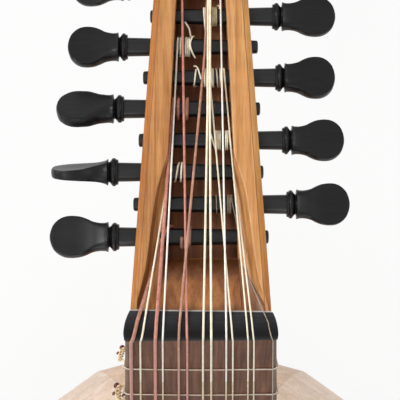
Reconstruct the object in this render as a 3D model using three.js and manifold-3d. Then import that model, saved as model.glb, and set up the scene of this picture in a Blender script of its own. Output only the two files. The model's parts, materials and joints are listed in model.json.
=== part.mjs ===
// A seven-course renaissance lute with thirteen strings, lying on its back.
// All lengths are millimetres.
//
// The instrument is drawn in its own frame first: +X to the bass side, +Y from the nut to
// the tail, +Z up out of the soundboard, with the fingerboard's top at Z = 0 and its nut end
// at Y = 0. The pegbox has a frame of its own inside that one: its rim is at Z = 0 and it
// runs from Y = 0, under the nut, to -Y. At the end the whole lute is tipped so that the bowl
// and the pegbox's end both touch the ground, and its box is centred on the origin.

import * as THREE from 'three';
import * as BufferGeometryUtils from 'three/addons/utils/BufferGeometryUtils.js';
import Module from 'manifold-3d';

const wasm = await Module();
wasm.setup();

// Fits shared by the whole lute

const fitGap = 0.3;
const cutOverrun = 4;

// Strings and frets

const stringLength = 610;
const stringHeightAtBridge = 6.5;
const stringBandAtBridge = 116;
const thickestString = 1.6;
const windingPitchGap = 0.5;
const stringPegGap = 0.3;
const fretCount = 8;
const thickestFret = 1;
const thinnestFret = 0.7;

// Neck, fingerboard and nut

const neckLength = 231.5;
const neckWidthAtNut = 62.5;
const neckWidthAtBody = 87;
const neckDepthAtNut = 26;
const neckDepthAtBody = 34;
const fingerboardThickness = 3.7;
const nutThickness = 5.3;
const nutCrownHeight = 1.3;
const nutFaceDepth = 11.2;

// Body

const bodyWidth = 320;
const bodyLength = 462.5;
const bodyDepth = 156;
const shoulderLength = 244;
const bowlFullness = 2.22;
const ribCount = 9;
const ribThickness = 2;
const ribTailLength = 0.7;
const soundboardThickness = 2;
const neckBlockLength = 42;
const barThickness = 5;
const barHeight = 15;
const barEndGap = 1.6;
const barPlaceShares = [0.14, 0.26, 0.535, 0.64, 0.74];
const claspThickness = 1.6;
const claspReach = 15;

// Rose, pierced through the soundboard

const rosePlaceShare = 0.395;
const roseRadius = 49;
const roseRings = [
  { holes: 1, sides: 6, placeShare: 0, sizeShare: 0.1 },
  { holes: 6, sides: 6, placeShare: 0.26, sizeShare: 0.105 },
  { holes: 12, sides: 5, placeShare: 0.5, sizeShare: 0.09 },
  { holes: 18, sides: 4, placeShare: 0.72, sizeShare: 0.085 },
  { holes: 24, sides: 3, placeShare: 0.91, sizeShare: 0.07 },
];

// Bridge

const bridgeLength = 164;
const bridgeWidth = 15;
const bridgeHeight = 8.5;
const bridgeTipWidth = 5;
const bridgeTipHeight = 2.5;
const bridgeTipReach = 20;

// Pegbox, measured along its rim from the nut

const pegboxBendDegrees = 75;
const pegboxLength = 218;
const pegboxWidthAtNut = 58.4;
const pegboxWidthAtEnd = 31.5;
const channelWidthAtNut = 33.6;
const channelWidthAtEnd = 14.9;
const pegboxDepthAtNut = 27;
const pegboxDepthAtEnd = 19;
const pegboxBackThickness = 4;
const pegboxEndThickness = 7;
const rootFloorLength = 22;
const rootFloorEndDepth = 14;
const scoopLength = 92;
const scoopDepth = 6.6;

// The hollow that widens the channel towards the nut: how far along it, how much of the cheek
// is left standing at the rim, how far in the steep upper wall leans, and how deep it goes
const scoopShares = [
  { along: 0, rimLeft: 0.19, lean: 0.12, deep: 0.35 },
  { along: 0.087, rimLeft: 0.31, lean: 0.16, deep: 0.75 },
  { along: 0.2, rimLeft: 0.43, lean: 0.18, deep: 0.92 },
  { along: 0.42, rimLeft: 0.56, lean: 0.14, deep: 0.92 },
  { along: 0.57, rimLeft: 0.7, lean: 0.1, deep: 0.92 },
  { along: 0.66, rimLeft: 0.84, lean: 0.05, deep: 0.93 },
  { along: 0.75, rimLeft: 0.94, lean: 0.02, deep: 0.94 },
  { along: 1, rimLeft: 0.985, lean: 0.005, deep: 0.94 },
];

// The floor that falls away from the nut into the channel: how far along it, and how deep
const rootFloorShares = [
  { along: 0, deep: 0.16 },
  { along: 0.45, deep: 0.36 },
  { along: 0.75, deep: 0.63 },
  { along: 1, deep: 1 },
];

// Pegs

const pegCount = 13;
const firstPegFromNut = 32.5;
const lastPegFromEnd = 7.74;
const pegDepth = 9.5;
const pegSides = 12;
const pegThickRadius = 4.15;
const pegThinRadius = 2.95;
const pegEndRadius = 2.3;
const pegEndDome = 0.6;
const pegPokeOut = 3.2;
const pegExposure = 10.6;
const pegHoleClearance = 0.25;
const pegRunningGap = 0.25;
const pegHeadLength = 29.6;
const pegHeadRadius = 8.8;
const pegHeadThickness = 4.3;

// The pegs are cut by hand, each a little different: how its head is turned, and how long its
// head, the bare shaft at its head's side and its thin end are against the longest of each
const pegShares = [
  { turnDegrees: 4, head: 1, bare: 0.71, poke: 0.52 },
  { turnDegrees: 8, head: 0.915, bare: 0.97, poke: 0.8 },
  { turnDegrees: 79, head: 0.976, bare: 0.95, poke: 0.47 },
  { turnDegrees: 0, head: 0.907, bare: 1, poke: 0.73 },
  { turnDegrees: 32, head: 1, bare: 0.915, poke: 0.67 },
  { turnDegrees: -6, head: 0.886, bare: 0.925, poke: 0.78 },
  { turnDegrees: 8, head: 0.894, bare: 0.96, poke: 1 },
  { turnDegrees: 5, head: 0.947, bare: 0.995, poke: 0.44 },
  { turnDegrees: -10, head: 0.93, bare: 0.95, poke: 0.6 },
  { turnDegrees: 12, head: 0.92, bare: 0.94, poke: 0.7 },
  { turnDegrees: 20, head: 0.94, bare: 0.96, poke: 0.55 },
  { turnDegrees: -5, head: 0.91, bare: 0.95, poke: 0.65 },
  { turnDegrees: 6, head: 0.93, bare: 0.94, poke: 0.6 },
];

// Ring, groove and flattened pear of a peg's head: each row is how far out along the head,
// the turned radius and the half thickness between the two planed faces
const pegHeadShares = [
  { out: 0, radius: 0.6, flat: 1 },
  { out: 0.05, radius: 0.69, flat: 1 },
  { out: 0.09, radius: 0.68, flat: 1 },
  { out: 0.135, radius: 0.49, flat: 1 },
  { out: 0.157, radius: 0.745, flat: 0.63 },
  { out: 0.204, radius: 0.7, flat: 0.52 },
  { out: 0.285, radius: 0.67, flat: 0.44 },
  { out: 0.38, radius: 0.735, flat: 0.375 },
  { out: 0.463, radius: 0.85, flat: 0.33 },
  { out: 0.56, radius: 0.955, flat: 0.29 },
  { out: 0.67, radius: 1, flat: 0.255 },
  { out: 0.77, radius: 0.975, flat: 0.24 },
  { out: 0.86, radius: 0.86, flat: 0.225 },
  { out: 0.935, radius: 0.62, flat: 0.22 },
  { out: 1, radius: 0.2, flat: 0.16 },
];

// The strings from bass to treble. gaugeShare is the diameter, against the thickest string's.
// nutShare is the place across half the nut, windShare the place across half the pegbox
// channel where the string meets its peg, both plus to the bass. towards is the side that the
// winding works along to.
const stringShares = [
  { name: 'string_7_bass', peg: 1, gaugeShare: 1, nutShare: 0.918, windShare: 0.84,
    turns: 2, towards: -1, colour: 0xb9755a },
  { name: 'string_7_octave', peg: 3, gaugeShare: 0.53, nutShare: 0.797, windShare: 0.94,
    turns: 4, towards: -1, colour: 0xe2d8a8 },
  { name: 'string_6_bass', peg: 5, gaugeShare: 0.94, nutShare: 0.602, windShare: 0.9,
    turns: 3, towards: -1, colour: 0xc4705c },
  { name: 'string_6_octave', peg: 7, gaugeShare: 0.5, nutShare: 0.502, windShare: 0.9,
    turns: 4, towards: -1, colour: 0xf0eee6 },
  { name: 'string_5_lower', peg: 9, gaugeShare: 0.69, nutShare: 0.291, windShare: -0.4,
    turns: 3, towards: 1, colour: 0xb9755a },
  { name: 'string_5_upper', peg: 11, gaugeShare: 0.66, nutShare: 0.179, windShare: 0.88,
    turns: 3, towards: -1, colour: 0xd07a6a },
  { name: 'string_4_lower', peg: 12, gaugeShare: 0.62, nutShare: -0.03, windShare: -0.4,
    turns: 3, towards: 1, colour: 0xe9e3c2 },
  { name: 'string_4_upper', peg: 13, gaugeShare: 0.66, nutShare: -0.138, windShare: -0.62,
    turns: 3, towards: 1, colour: 0xe9e3c2 },
  { name: 'string_3_lower', peg: 10, gaugeShare: 0.5, nutShare: -0.336, windShare: -0.85,
    turns: 3, towards: 1, colour: 0xf0eee6 },
  { name: 'string_3_upper', peg: 8, gaugeShare: 0.47, nutShare: -0.422, windShare: -0.22,
    turns: 4, towards: -1, colour: 0xf0eee6 },
  { name: 'string_2_lower', peg: 6, gaugeShare: 0.44, nutShare: -0.624, windShare: -0.79,
    turns: 4, towards: 1, colour: 0xf0eee6 },
  { name: 'string_2_upper', peg: 4, gaugeShare: 0.44, nutShare: -0.7, windShare: -0.92,
    turns: 2, towards: 1, colour: 0xf0eee6 },
  { name: 'string_1', peg: 2, gaugeShare: 0.28, nutShare: -0.95, windShare: -0.45,
    turns: 4, towards: -1, colour: 0xe6dcc4 },
];

const strings = stringShares.map((row) => ({ ...row, diameter: row.gaugeShare * thickestString }));

// Pairs of strings that cross in the pegbox close enough to touch: the first is on top
const crossingPairs = [
  ['string_7_octave', 'string_7_bass'],
  ['string_5_upper', 'string_5_lower'],
  ['string_3_lower', 'string_3_upper'],
];

// How far the strings lean away from the nut's top at its rows after the first, in radians
const nutLeans = [0.1, 0.7, 1.3];

const stringSides = 5;
const stepsPerTurn = 12;
const fretSides = 5;
const fretSlack = 1.12;
const fretBackSteps = 12;

// Materials

function finish(colour, roughness, metalness = 0) {
  return { color: new THREE.Color(colour), roughness, metalness };
}

const finishes = {
  paleSpruce: finish(0xe9d3ac, 0.6),
  palePearwood: finish(0xdcc09f, 0.45),
  bracingSpruce: finish(0xd9bd90, 0.8),
  warmMaple: finish(0xcd915c, 0.42),
  insideWood: finish(0x8c5b38, 0.6),
  darkWood: finish(0x4a2c22, 0.6),
  fingerboardWood: finish(0x684d40, 0.5),
  bridgeWood: finish(0x4f3424, 0.45),
  ebony: finish(0x2d2d2f, 0.38),
  gut: finish(0xc9ad7c, 0.4),
};

const lute = new THREE.Group();
const pegbox = new THREE.Group();
lute.add(pegbox);

function addPiece(parent, name, geometry, look) {
  const mesh = new THREE.Mesh(geometry, new THREE.MeshStandardMaterial({ ...look }));
  mesh.name = name;
  parent.add(mesh);
  return mesh;
}

// Geometry helpers

function mix(from, to, share) {
  return from + (to - from) * share;
}

function signedVolume(points, faces) {
  let sum = 0;
  const cross = new THREE.Vector3();
  for (const [a, b, c] of faces) {
    cross.crossVectors(points[b], points[c]);
    sum += points[a].dot(cross);
  }
  return sum;
}

function geometryFrom(points, faces) {
  const outward = signedVolume(points, faces) > 0;
  const index = [];
  for (const [a, b, c] of faces) {
    index.push(a, outward ? b : c, outward ? c : b);
  }
  const geometry = new THREE.BufferGeometry();
  geometry.setFromPoints(points);
  geometry.setIndex(index);
  geometry.computeVertexNormals();
  return geometry;
}

// Faces that close a flat ring of points, however it bends
function capFaces(ring, firstIndex) {
  const normal = new THREE.Vector3();
  ring.forEach((point, i) => {
    const next = ring[(i + 1) % ring.length];
    normal.x += (point.y - next.y) * (point.z + next.z);
    normal.y += (point.z - next.z) * (point.x + next.x);
    normal.z += (point.x - next.x) * (point.y + next.y);
  });
  normal.normalize();
  const side = Math.abs(normal.z) < 0.9 ? new THREE.Vector3(0, 0, 1) : new THREE.Vector3(1, 0, 0);
  const across = new THREE.Vector3().crossVectors(side, normal).normalize();
  const along = new THREE.Vector3().crossVectors(normal, across);
  const flat = ring.map((point) => new THREE.Vector2(point.dot(across), point.dot(along)));
  const faces = THREE.ShapeUtils.triangulateShape(flat, []);
  return faces.map((face) => face.map((corner) => corner + firstIndex));
}

// A solid skin over a row of rings that all have the same number of points
function loft(rings) {
  const count = rings[0].length;
  const points = rings.flat();
  const faces = [];
  for (let r = 0; r + 1 < rings.length; r += 1) {
    for (let i = 0; i < count; i += 1) {
      const a = r * count + i;
      const b = r * count + ((i + 1) % count);
      faces.push([a, b, b + count], [a, b + count, a + count]);
    }
  }
  const first = capFaces(rings[0], 0).map(([a, b, c]) => [a, c, b]);
  const last = capFaces(rings.at(-1), (rings.length - 1) * count);
  return geometryFrom(points, [...faces, ...first, ...last]);
}

// Rings square to a line of points, carried along it without twist
function ringsAlong(path, radius, sides, closed) {
  const rings = [];
  const tangentAt = (i) => {
    const before = closed ? path.at(i - 1) : path[Math.max(i - 1, 0)];
    const after = closed ? path[(i + 1) % path.length] : path[Math.min(i + 1, path.length - 1)];
    return after.clone().sub(before).normalize();
  };
  let lean = new THREE.Vector3(1, 0, 0);
  if (Math.abs(tangentAt(0).x) > 0.8) {
    lean.set(0, 0, 1);
  }
  path.forEach((point, i) => {
    const tangent = tangentAt(i);
    lean.addScaledVector(tangent, -lean.dot(tangent)).normalize();
    const other = new THREE.Vector3().crossVectors(tangent, lean);
    const ring = [];
    for (let k = 0; k < sides; k += 1) {
      const turn = (k / sides) * 2 * Math.PI;
      const spoke = lean.clone().multiplyScalar(Math.cos(turn) * radius);
      spoke.addScaledVector(other, Math.sin(turn) * radius);
      ring.push(spoke.add(point));
    }
    rings.push(ring);
    lean = lean.clone();
  });
  return rings;
}

// A closed loop of cord, made as one ring-shaped solid
function loop(path, radius, sides) {
  const rings = ringsAlong(path, radius, sides, true);
  const points = rings.flat();
  const faces = [];
  rings.forEach((ring, r) => {
    const next = ((r + 1) % rings.length) * sides;
    for (let k = 0; k < sides; k += 1) {
      const a = r * sides + k;
      const b = r * sides + ((k + 1) % sides);
      const c = next + ((k + 1) % sides);
      const d = next + k;
      faces.push([a, b, c], [a, c, d]);
    }
  });
  return geometryFrom(points, faces);
}

function toSolid(geometry) {
  const bare = geometry.clone();
  bare.deleteAttribute('normal');
  if (bare.hasAttribute('uv')) {
    bare.deleteAttribute('uv');
  }
  const merged = BufferGeometryUtils.mergeVertices(bare);
  return new wasm.Manifold(new wasm.Mesh({
    numProp: 3,
    vertProperties: new Float32Array(merged.attributes.position.array),
    triVerts: new Uint32Array(merged.index.array),
  }));
}

function fromSolid(solid) {
  const mesh = solid.getMesh();
  const geometry = new THREE.BufferGeometry();
  geometry.setAttribute('position', new THREE.BufferAttribute(mesh.vertProperties, 3));
  geometry.setIndex(new THREE.BufferAttribute(mesh.triVerts, 1));
  geometry.computeVertexNormals();
  return geometry;
}

function cutAway(geometry, tools) {
  let solid = toSolid(geometry);
  for (const tool of tools) {
    solid = solid.subtract(toSolid(tool));
  }
  return fromSolid(solid);
}

// Neck, fingerboard and nut

function neckHalfWidth(y) {
  return mix(neckWidthAtNut, neckWidthAtBody, y / neckLength) / 2;
}

function neckDepth(y) {
  return mix(neckDepthAtNut, neckDepthAtBody, y / neckLength);
}

// Half an ellipse under the fingerboard, cut off level at its top, or the same line moved out
function neckRing(y, top, lift = 0) {
  const start = Math.asin(-top / neckDepth(y));
  const ring = [];
  for (let i = 0; i <= fretBackSteps; i += 1) {
    const turn = mix(start, Math.PI - start, i / fretBackSteps);
    const out = new THREE.Vector3(neckDepth(y) * Math.cos(turn), 0, -neckHalfWidth(y) * Math.sin(turn));
    const x = neckHalfWidth(y) * Math.cos(turn);
    const z = -neckDepth(y) * Math.sin(turn);
    ring.push(new THREE.Vector3(x, y, z).addScaledVector(out.normalize(), lift));
  }
  return ring;
}

const bend = THREE.MathUtils.degToRad(pegboxBendDegrees);
pegbox.position.set(0, -nutThickness, -nutFaceDepth);
pegbox.rotation.x = bend;
pegbox.updateMatrix();

function pegboxPoint(x, along, rise) {
  return new THREE.Vector3(x, -along, rise).applyMatrix4(pegbox.matrix);
}

// The step in the neck's end that holds the pegbox
function pegboxHousing() {
  const width = neckWidthAtNut + 2 * cutOverrun;
  const height = pegboxDepthAtNut + pegboxLength;
  const length = pegboxLength + fitGap;
  const housing = new THREE.BoxGeometry(width, length, height);
  housing.translate(0, fitGap - length / 2, height / 2 - pegboxDepthAtNut);
  housing.applyMatrix4(pegbox.matrix);
  return housing;
}

function makeNeck() {
  const top = -fingerboardThickness - fitGap;
  const blank = loft([neckRing(0, top), neckRing(neckLength - fitGap, top)]);
  return cutAway(blank, [pegboxHousing()]);
}

function makeFingerboard() {
  const sides = (y, z) => {
    const halfWidth = neckHalfWidth(y) * Math.sqrt(1 - (z / neckDepth(y)) ** 2);
    return [new THREE.Vector3(-halfWidth, y, z), new THREE.Vector3(halfWidth, y, z)];
  };
  const section = (y) => {
    const [lowLeft, lowRight] = sides(y, -fingerboardThickness);
    const [highLeft, highRight] = sides(y, 0);
    return [lowLeft, lowRight, highRight, highLeft];
  };
  return loft([section(0), section(neckLength - fitGap)]);
}

// The nut's top, from the fingerboard to the edge where the strings break over it
const nutTopShares = [
  { back: 0.06, rise: 1 },
  { back: 0.5, rise: 0.92 },
  { back: 0.85, rise: 0.2 },
  { back: 1, rise: -0.7 },
];

function nutFloor(back) {
  const slope = Math.tan(Math.PI / 2 - bend);
  return -nutFaceDepth - (nutThickness - back) * slope + fitGap / Math.sin(bend);
}

function makeNut() {
  const steps = 5;
  const section = ({ back, rise }) => {
    const y = -back * nutThickness;
    const floor = nutFloor(back * nutThickness);
    const ring = [];
    for (const side of [1, -1]) {
      const column = [];
      for (let i = 0; i <= steps; i += 1) {
        const z = mix(floor, Math.min(0, rise * nutCrownHeight), i / steps);
        const halfWidth = neckHalfWidth(0) * Math.sqrt(1 - (z / neckDepthAtNut) ** 2);
        column.push(new THREE.Vector3(side * halfWidth, y, z));
      }
      const inset = fitGap + nutCrownHeight / 2;
      column.push(new THREE.Vector3(side * (neckHalfWidth(0) - inset), y, rise * nutCrownHeight));
      ring.push(...(side > 0 ? column : column.reverse()));
    }
    return ring;
  };
  return loft(nutTopShares.map(section));
}

addPiece(lute, 'neck', makeNeck(), finishes.warmMaple);
addPiece(lute, 'fingerboard', makeFingerboard(), finishes.fingerboardWood);
addPiece(lute, 'nut', makeNut(), finishes.ebony);

// Body outline and bowl

const bodyStart = neckLength;
const bodyEnd = neckLength + bodyLength;
const widestPlace = bodyStart + shoulderLength;
const bowlTop = -soundboardThickness - fitGap;

// A shoulder arc from the neck to the widest place, then half an ellipse to the tail
function bulge(y, atNeck, atWidest) {
  if (y >= widestPlace) {
    const out = Math.min((y - widestPlace) / (bodyEnd - widestPlace), 1);
    return atWidest * Math.sqrt(1 - out * out);
  }
  const rise = atWidest - atNeck;
  const radius = (shoulderLength ** 2 + rise ** 2) / (2 * rise);
  return atWidest - radius + Math.sqrt(radius ** 2 - (widestPlace - y) ** 2);
}

function bodyHalfWidth(y) {
  return bulge(y, neckWidthAtBody / 2, bodyWidth / 2);
}

function bowlDepth(y) {
  return bulge(y, neckDepthAtBody + bowlTop, bodyDepth + bowlTop);
}

// A point of the bowl's skin at an angle from the treble edge, round its underside
function bowlPoint(y, turn) {
  const c = Math.cos(turn);
  const s = Math.sin(turn);
  const fill = (Math.abs(c) ** bowlFullness + Math.abs(s) ** bowlFullness) ** (-1 / bowlFullness);
  return new THREE.Vector3(-bodyHalfWidth(y) * fill * c, y, bowlTop - bowlDepth(y) * fill * s);
}

function bowlNormal(y, turn) {
  const small = 1e-3;
  const low = Math.min(y + small * bodyLength, bodyEnd) - small * bodyLength;
  const along = bowlPoint(low + small * bodyLength, turn).sub(bowlPoint(low, turn));
  const around = bowlPoint(y, turn + small).sub(bowlPoint(y, turn - small));
  return new THREE.Vector3().crossVectors(along, around).normalize();
}

const shoulderSteps = 11;
const tailSteps = 9;

// Stations along the bowl, closer together where it curves more
function bowlStations(tailGap) {
  const stations = [];
  for (let i = 0; i < shoulderSteps; i += 1) {
    const share = i / shoulderSteps;
    stations.push(mix(bodyStart, widestPlace, share * (2 - share) * 0.35 + share * 0.65));
  }
  const reach = bodyEnd - widestPlace;
  const lastTurn = Math.asin(1 - tailGap / reach);
  for (let i = 0; i <= tailSteps; i += 1) {
    stations.push(widestPlace + reach * Math.sin((lastTurn * i) / tailSteps));
  }
  return stations;
}

// Points round the bowl at one station, moved out of its skin by a lift. The first station
// stays in the plane of the neck's joint.
function bowlRing(y, turns, lift) {
  return turns.map((turn) => {
    const normal = bowlNormal(y, turn);
    if (y === bodyStart) {
      normal.y = 0;
      normal.normalize();
    }
    return bowlPoint(y, turn).addScaledVector(normal, lift);
  });
}

function makeRib(number) {
  const turns = [((number - 1) / ribCount) * Math.PI, (number / ribCount) * Math.PI];
  const rings = bowlStations(ribTailLength).map((y) => {
    const outer = bowlRing(y, turns, 0);
    const inner = bowlRing(y, turns, -ribThickness);
    const joint = outer[1].clone().sub(outer[0]).setLength(fitGap / 2);
    for (const pair of [outer, inner]) {
      if (number > 1) {
        pair[0].add(joint);
      }
      if (number < ribCount) {
        pair[1].sub(joint);
      }
    }
    return [outer[0], outer[1], inner[1], inner[0]];
  });
  return loft(rings);
}

for (let number = 1; number <= ribCount; number += 1) {
  addPiece(lute, `rib_${number}`, makeRib(number), finishes.palePearwood);
}

// Free half width between the first and the last rib at a depth under the soundboard
function insideHalfWidth(y, depth) {
  const [high, low] = bowlRing(y, [0, Math.PI / ribCount], -ribThickness);
  const share = depth / (high.z - low.z);
  return -mix(high.x, low.x, share) - barEndGap;
}

// Angles of the joints between the ribs, from the treble edge round to the bass edge
function jointTurns() {
  const turns = [];
  for (let i = 0; i <= ribCount; i += 1) {
    turns.push((i / ribCount) * Math.PI);
  }
  return turns;
}

function makeNeckBlock() {
  const inset = (ribThickness + fitGap) / Math.cos(Math.PI / 2 / ribCount);
  const face = bowlRing(bodyStart, jointTurns(), -inset - fitGap);
  const rings = [0, 1].map((end) => face.map((point) => {
    const wider = 1 + (end * neckBlockLength) / bodyLength;
    return new THREE.Vector3(point.x * wider, point.y + end * neckBlockLength, point.z);
  }));
  return loft(rings);
}

function makeBar(share) {
  const y = bodyStart + bodyLength * share;
  const nearest = y < widestPlace ? y - barThickness / 2 : y + barThickness / 2;
  const top = insideHalfWidth(nearest, 0);
  const bottom = insideHalfWidth(nearest, barHeight);
  const outline = new THREE.Shape([
    new THREE.Vector2(-top, 0),
    new THREE.Vector2(-bottom, -barHeight),
    new THREE.Vector2(bottom, -barHeight),
    new THREE.Vector2(top, 0),
  ]);
  const bar = new THREE.ExtrudeGeometry(outline, { depth: barThickness, bevelEnabled: false });
  bar.rotateX(Math.PI / 2);
  bar.translate(0, y + barThickness / 2, bowlTop);
  return bar;
}

// A closed dome over the bowl's tail, outside its skin by a lift
function tailDome(reach, lift) {
  const rings = [];
  for (let i = 0; i <= tailSteps; i += 1) {
    const gap = mix(reach, ribTailLength, (i / tailSteps) ** (1 / 2));
    rings.push(bowlRing(bodyEnd - gap, jointTurns(), lift));
  }
  const tip = rings.at(-1);
  const end = bodyEnd + lift;
  rings.push(tip.map((point) => new THREE.Vector3(point.x / 2, end, mix(bowlTop, point.z, 0.5))));
  return loft(rings);
}

// The strip that covers the ribs' ends: a thin cap over the tail
function makeClasp() {
  const cover = tailDome(claspReach, fitGap + claspThickness);
  return cutAway(cover, [tailDome(claspReach + cutOverrun, fitGap)]);
}

addPiece(lute, 'neck_block', makeNeckBlock(), finishes.bracingSpruce);
barPlaceShares.forEach((share, i) => {
  addPiece(lute, `soundboard_bar_${i + 1}`, makeBar(share), finishes.bracingSpruce);
});
addPiece(lute, 'end_clasp', makeClasp(), finishes.palePearwood);

// Soundboard with its rose

function outlinePoints() {
  const right = bowlStations(0).slice(0, -1).map((y) => new THREE.Vector2(bodyHalfWidth(y), y));
  const left = right.map((point) => new THREE.Vector2(-point.x, point.y)).reverse();
  return [...right, new THREE.Vector2(0, bodyEnd), ...left];
}

function makeSoundboard() {
  const outline = new THREE.Shape(outlinePoints());
  const centre = bodyStart + bodyLength * rosePlaceShare;
  for (const ring of roseRings) {
    for (let i = 0; i < ring.holes; i += 1) {
      const place = (i / ring.holes) * 2 * Math.PI;
      const x = roseRadius * ring.placeShare * Math.sin(place);
      const y = centre + roseRadius * ring.placeShare * Math.cos(place);
      const corners = [];
      for (let k = 0; k < ring.sides; k += 1) {
        const turn = Math.PI / 2 - place + (k / ring.sides) * 2 * Math.PI;
        const reach = roseRadius * ring.sizeShare;
        corners.push(new THREE.Vector2(x + reach * Math.cos(turn), y + reach * Math.sin(turn)));
      }
      outline.holes.push(new THREE.Path(corners));
    }
  }
  const depth = soundboardThickness;
  const board = new THREE.ExtrudeGeometry(outline, { depth, bevelEnabled: false });
  board.translate(0, 0, -depth);
  return board;
}

// The bridge: a low bar with its ends drawn out thin
function makeBridge() {
  const section = (x, width, height) => {
    const front = stringLength + (bridgeWidth - width) / 2;
    return [
      new THREE.Vector3(x, front, fitGap),
      new THREE.Vector3(x, front + width, fitGap),
      new THREE.Vector3(x, front + width, height * 0.7),
      new THREE.Vector3(x, front + width * 0.7, height),
      new THREE.Vector3(x, front, height),
    ];
  };
  const half = bridgeLength / 2;
  const shoulder = half - bridgeTipReach;
  return loft([
    section(-half, bridgeTipWidth, bridgeTipHeight),
    section(-shoulder, bridgeWidth, bridgeHeight),
    section(shoulder, bridgeWidth, bridgeHeight),
    section(half, bridgeTipWidth, bridgeTipHeight),
  ]);
}

addPiece(lute, 'soundboard', makeSoundboard(), finishes.paleSpruce);
addPiece(lute, 'bridge', makeBridge(), finishes.bridgeWood);

// Pegbox

function pegboxHalfWidth(along) {
  return mix(pegboxWidthAtNut, pegboxWidthAtEnd, along / pegboxLength) / 2;
}

function channelHalfWidth(along) {
  return mix(channelWidthAtNut, channelWidthAtEnd, along / pegboxLength) / 2;
}

function pegboxDepth(along) {
  return mix(pegboxDepthAtNut, pegboxDepthAtEnd, along / pegboxLength);
}

const lastPegFromNut = pegboxLength - pegboxEndThickness - lastPegFromEnd;
const pegSpacing = (lastPegFromNut - firstPegFromNut) / (pegCount - 1);

function pegPlace(number) {
  return firstPegFromNut + (number - 1) * pegSpacing;
}

// Odd pegs have their heads on the bass side, even pegs on the treble side
function pegHeadSide(number) {
  return number % 2 ? 1 : -1;
}

// Distance from the pegbox's middle to the ring of a peg's head, and to its thin end
function pegRingPlace(number) {
  return pegboxHalfWidth(pegPlace(number)) + pegShares[number - 1].bare * pegExposure;
}

function pegEndPlace(number) {
  return pegboxHalfWidth(pegPlace(number)) + pegShares[number - 1].poke * pegPokeOut;
}

// Radius of a peg's shaft at a place across the pegbox, plus towards the bass
function pegShaftRadius(number, x) {
  const out = x * pegHeadSide(number) + pegEndPlace(number);
  const length = pegRingPlace(number) + pegEndPlace(number);
  return mix(pegThinRadius, pegThickRadius, out / length);
}

function sideBlock(rowAt, from, to) {
  const ring = (along) => rowAt(along).map(([x, z]) => new THREE.Vector3(x, -along, z));
  return loft([ring(from), ring(to)]);
}

function scoopTool(side) {
  const rings = scoopShares.map((row) => {
    const along = row.along * scoopLength - (row.along === 0 ? cutOverrun : 0);
    const place = Math.max(along, 0);
    const outer = pegboxHalfWidth(place);
    const inner = channelHalfWidth(place);
    const cheek = outer - inner;
    const rim = outer - cheek * row.rimLeft;
    const foot = rim - cheek * row.lean;
    const deep = scoopDepth * row.deep;
    const y = -along;
    return [
      new THREE.Vector3(side * rim, y, cutOverrun),
      new THREE.Vector3(side * rim, y, 0),
      new THREE.Vector3(side * foot, y, -deep * 0.55),
      new THREE.Vector3(side * mix(foot, inner, 0.6), y, -deep * 0.9),
      new THREE.Vector3(side * (inner - cutOverrun), y, -deep),
      new THREE.Vector3(side * (inner - cutOverrun), y, cutOverrun),
    ];
  });
  return loft(rings);
}

function pegHoleTool(number, side) {
  const along = pegPlace(number);
  const inner = channelHalfWidth(along) - cutOverrun;
  const outer = pegboxHalfWidth(along) + cutOverrun;
  const wrap = 1 / Math.cos(Math.PI / pegSides);
  const clearance = (radius) => (radius + pegRunningGap) * wrap;
  const low = clearance(pegShaftRadius(number, side * inner));
  const high = clearance(pegShaftRadius(number, side * outer));
  const tool = new THREE.CylinderGeometry(high, low, outer - inner, pegSides);
  tool.rotateZ(-side * Math.PI / 2);
  tool.translate((side * (inner + outer)) / 2, -along, -pegDepth);
  return tool;
}

const cheekEnd = pegboxLength - pegboxEndThickness - fitGap;

function makeCheek(side) {
  const row = (along) => {
    const inner = side * channelHalfWidth(along);
    const outer = side * pegboxHalfWidth(along);
    const floor = -pegboxDepth(along) + pegboxBackThickness + fitGap;
    return [[inner, 0], [outer, 0], [outer, floor], [inner, floor]];
  };
  const tools = [scoopTool(side)];
  for (let number = 1; number <= pegCount; number += 1) {
    tools.push(pegHoleTool(number, side));
  }
  return cutAway(sideBlock(row, 0, cheekEnd), tools);
}

// How far along the pegbox the neck's underside reaches over its back
function backSeatLength() {
  const level = (pegboxDepthAtNut - (neckDepthAtNut - nutFaceDepth) * Math.cos(bend)) / Math.sin(bend);
  const drop = neckDepth(level - nutThickness) - nutFaceDepth;
  return drop * Math.sin(bend) - level * Math.cos(bend) + 2 * fitGap;
}

// The back is rebated where the neck holds it, so that the rest of its outer face is clear
function makePegboxBack() {
  const seat = backSeatLength();
  const ring = (along, rebate) => {
    const half = pegboxHalfWidth(along);
    const floor = -pegboxDepth(along);
    const top = floor + pegboxBackThickness;
    const low = floor + rebate;
    return [[-half, top], [half, top], [half, low], [-half, low]].map(
      ([x, z]) => new THREE.Vector3(x, -along, z),
    );
  };
  return loft([ring(0, fitGap), ring(seat, fitGap), ring(seat + fitGap, 0), ring(cheekEnd, 0)]);
}

function makePegboxEnd() {
  const row = (along) => {
    const half = pegboxHalfWidth(along);
    const floor = -pegboxDepth(along);
    return [[-half, 0], [half, 0], [half, floor], [-half, floor]];
  };
  return sideBlock(row, pegboxLength - pegboxEndThickness, pegboxLength);
}

function makeRootBlock() {
  const row = (along, top) => {
    const half = channelHalfWidth(along) - fitGap;
    const floor = -pegboxDepth(along) + pegboxBackThickness + fitGap;
    return [[-half, -top], [half, -top], [half, floor], [-half, floor]];
  };
  const ring = (along, top) => row(along, top).map(([x, z]) => new THREE.Vector3(x, -along, z));
  return loft(rootFloorShares.map(({ along, deep }) => (
    ring(along * rootFloorLength, deep * rootFloorEndDepth)
  )));
}

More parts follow.
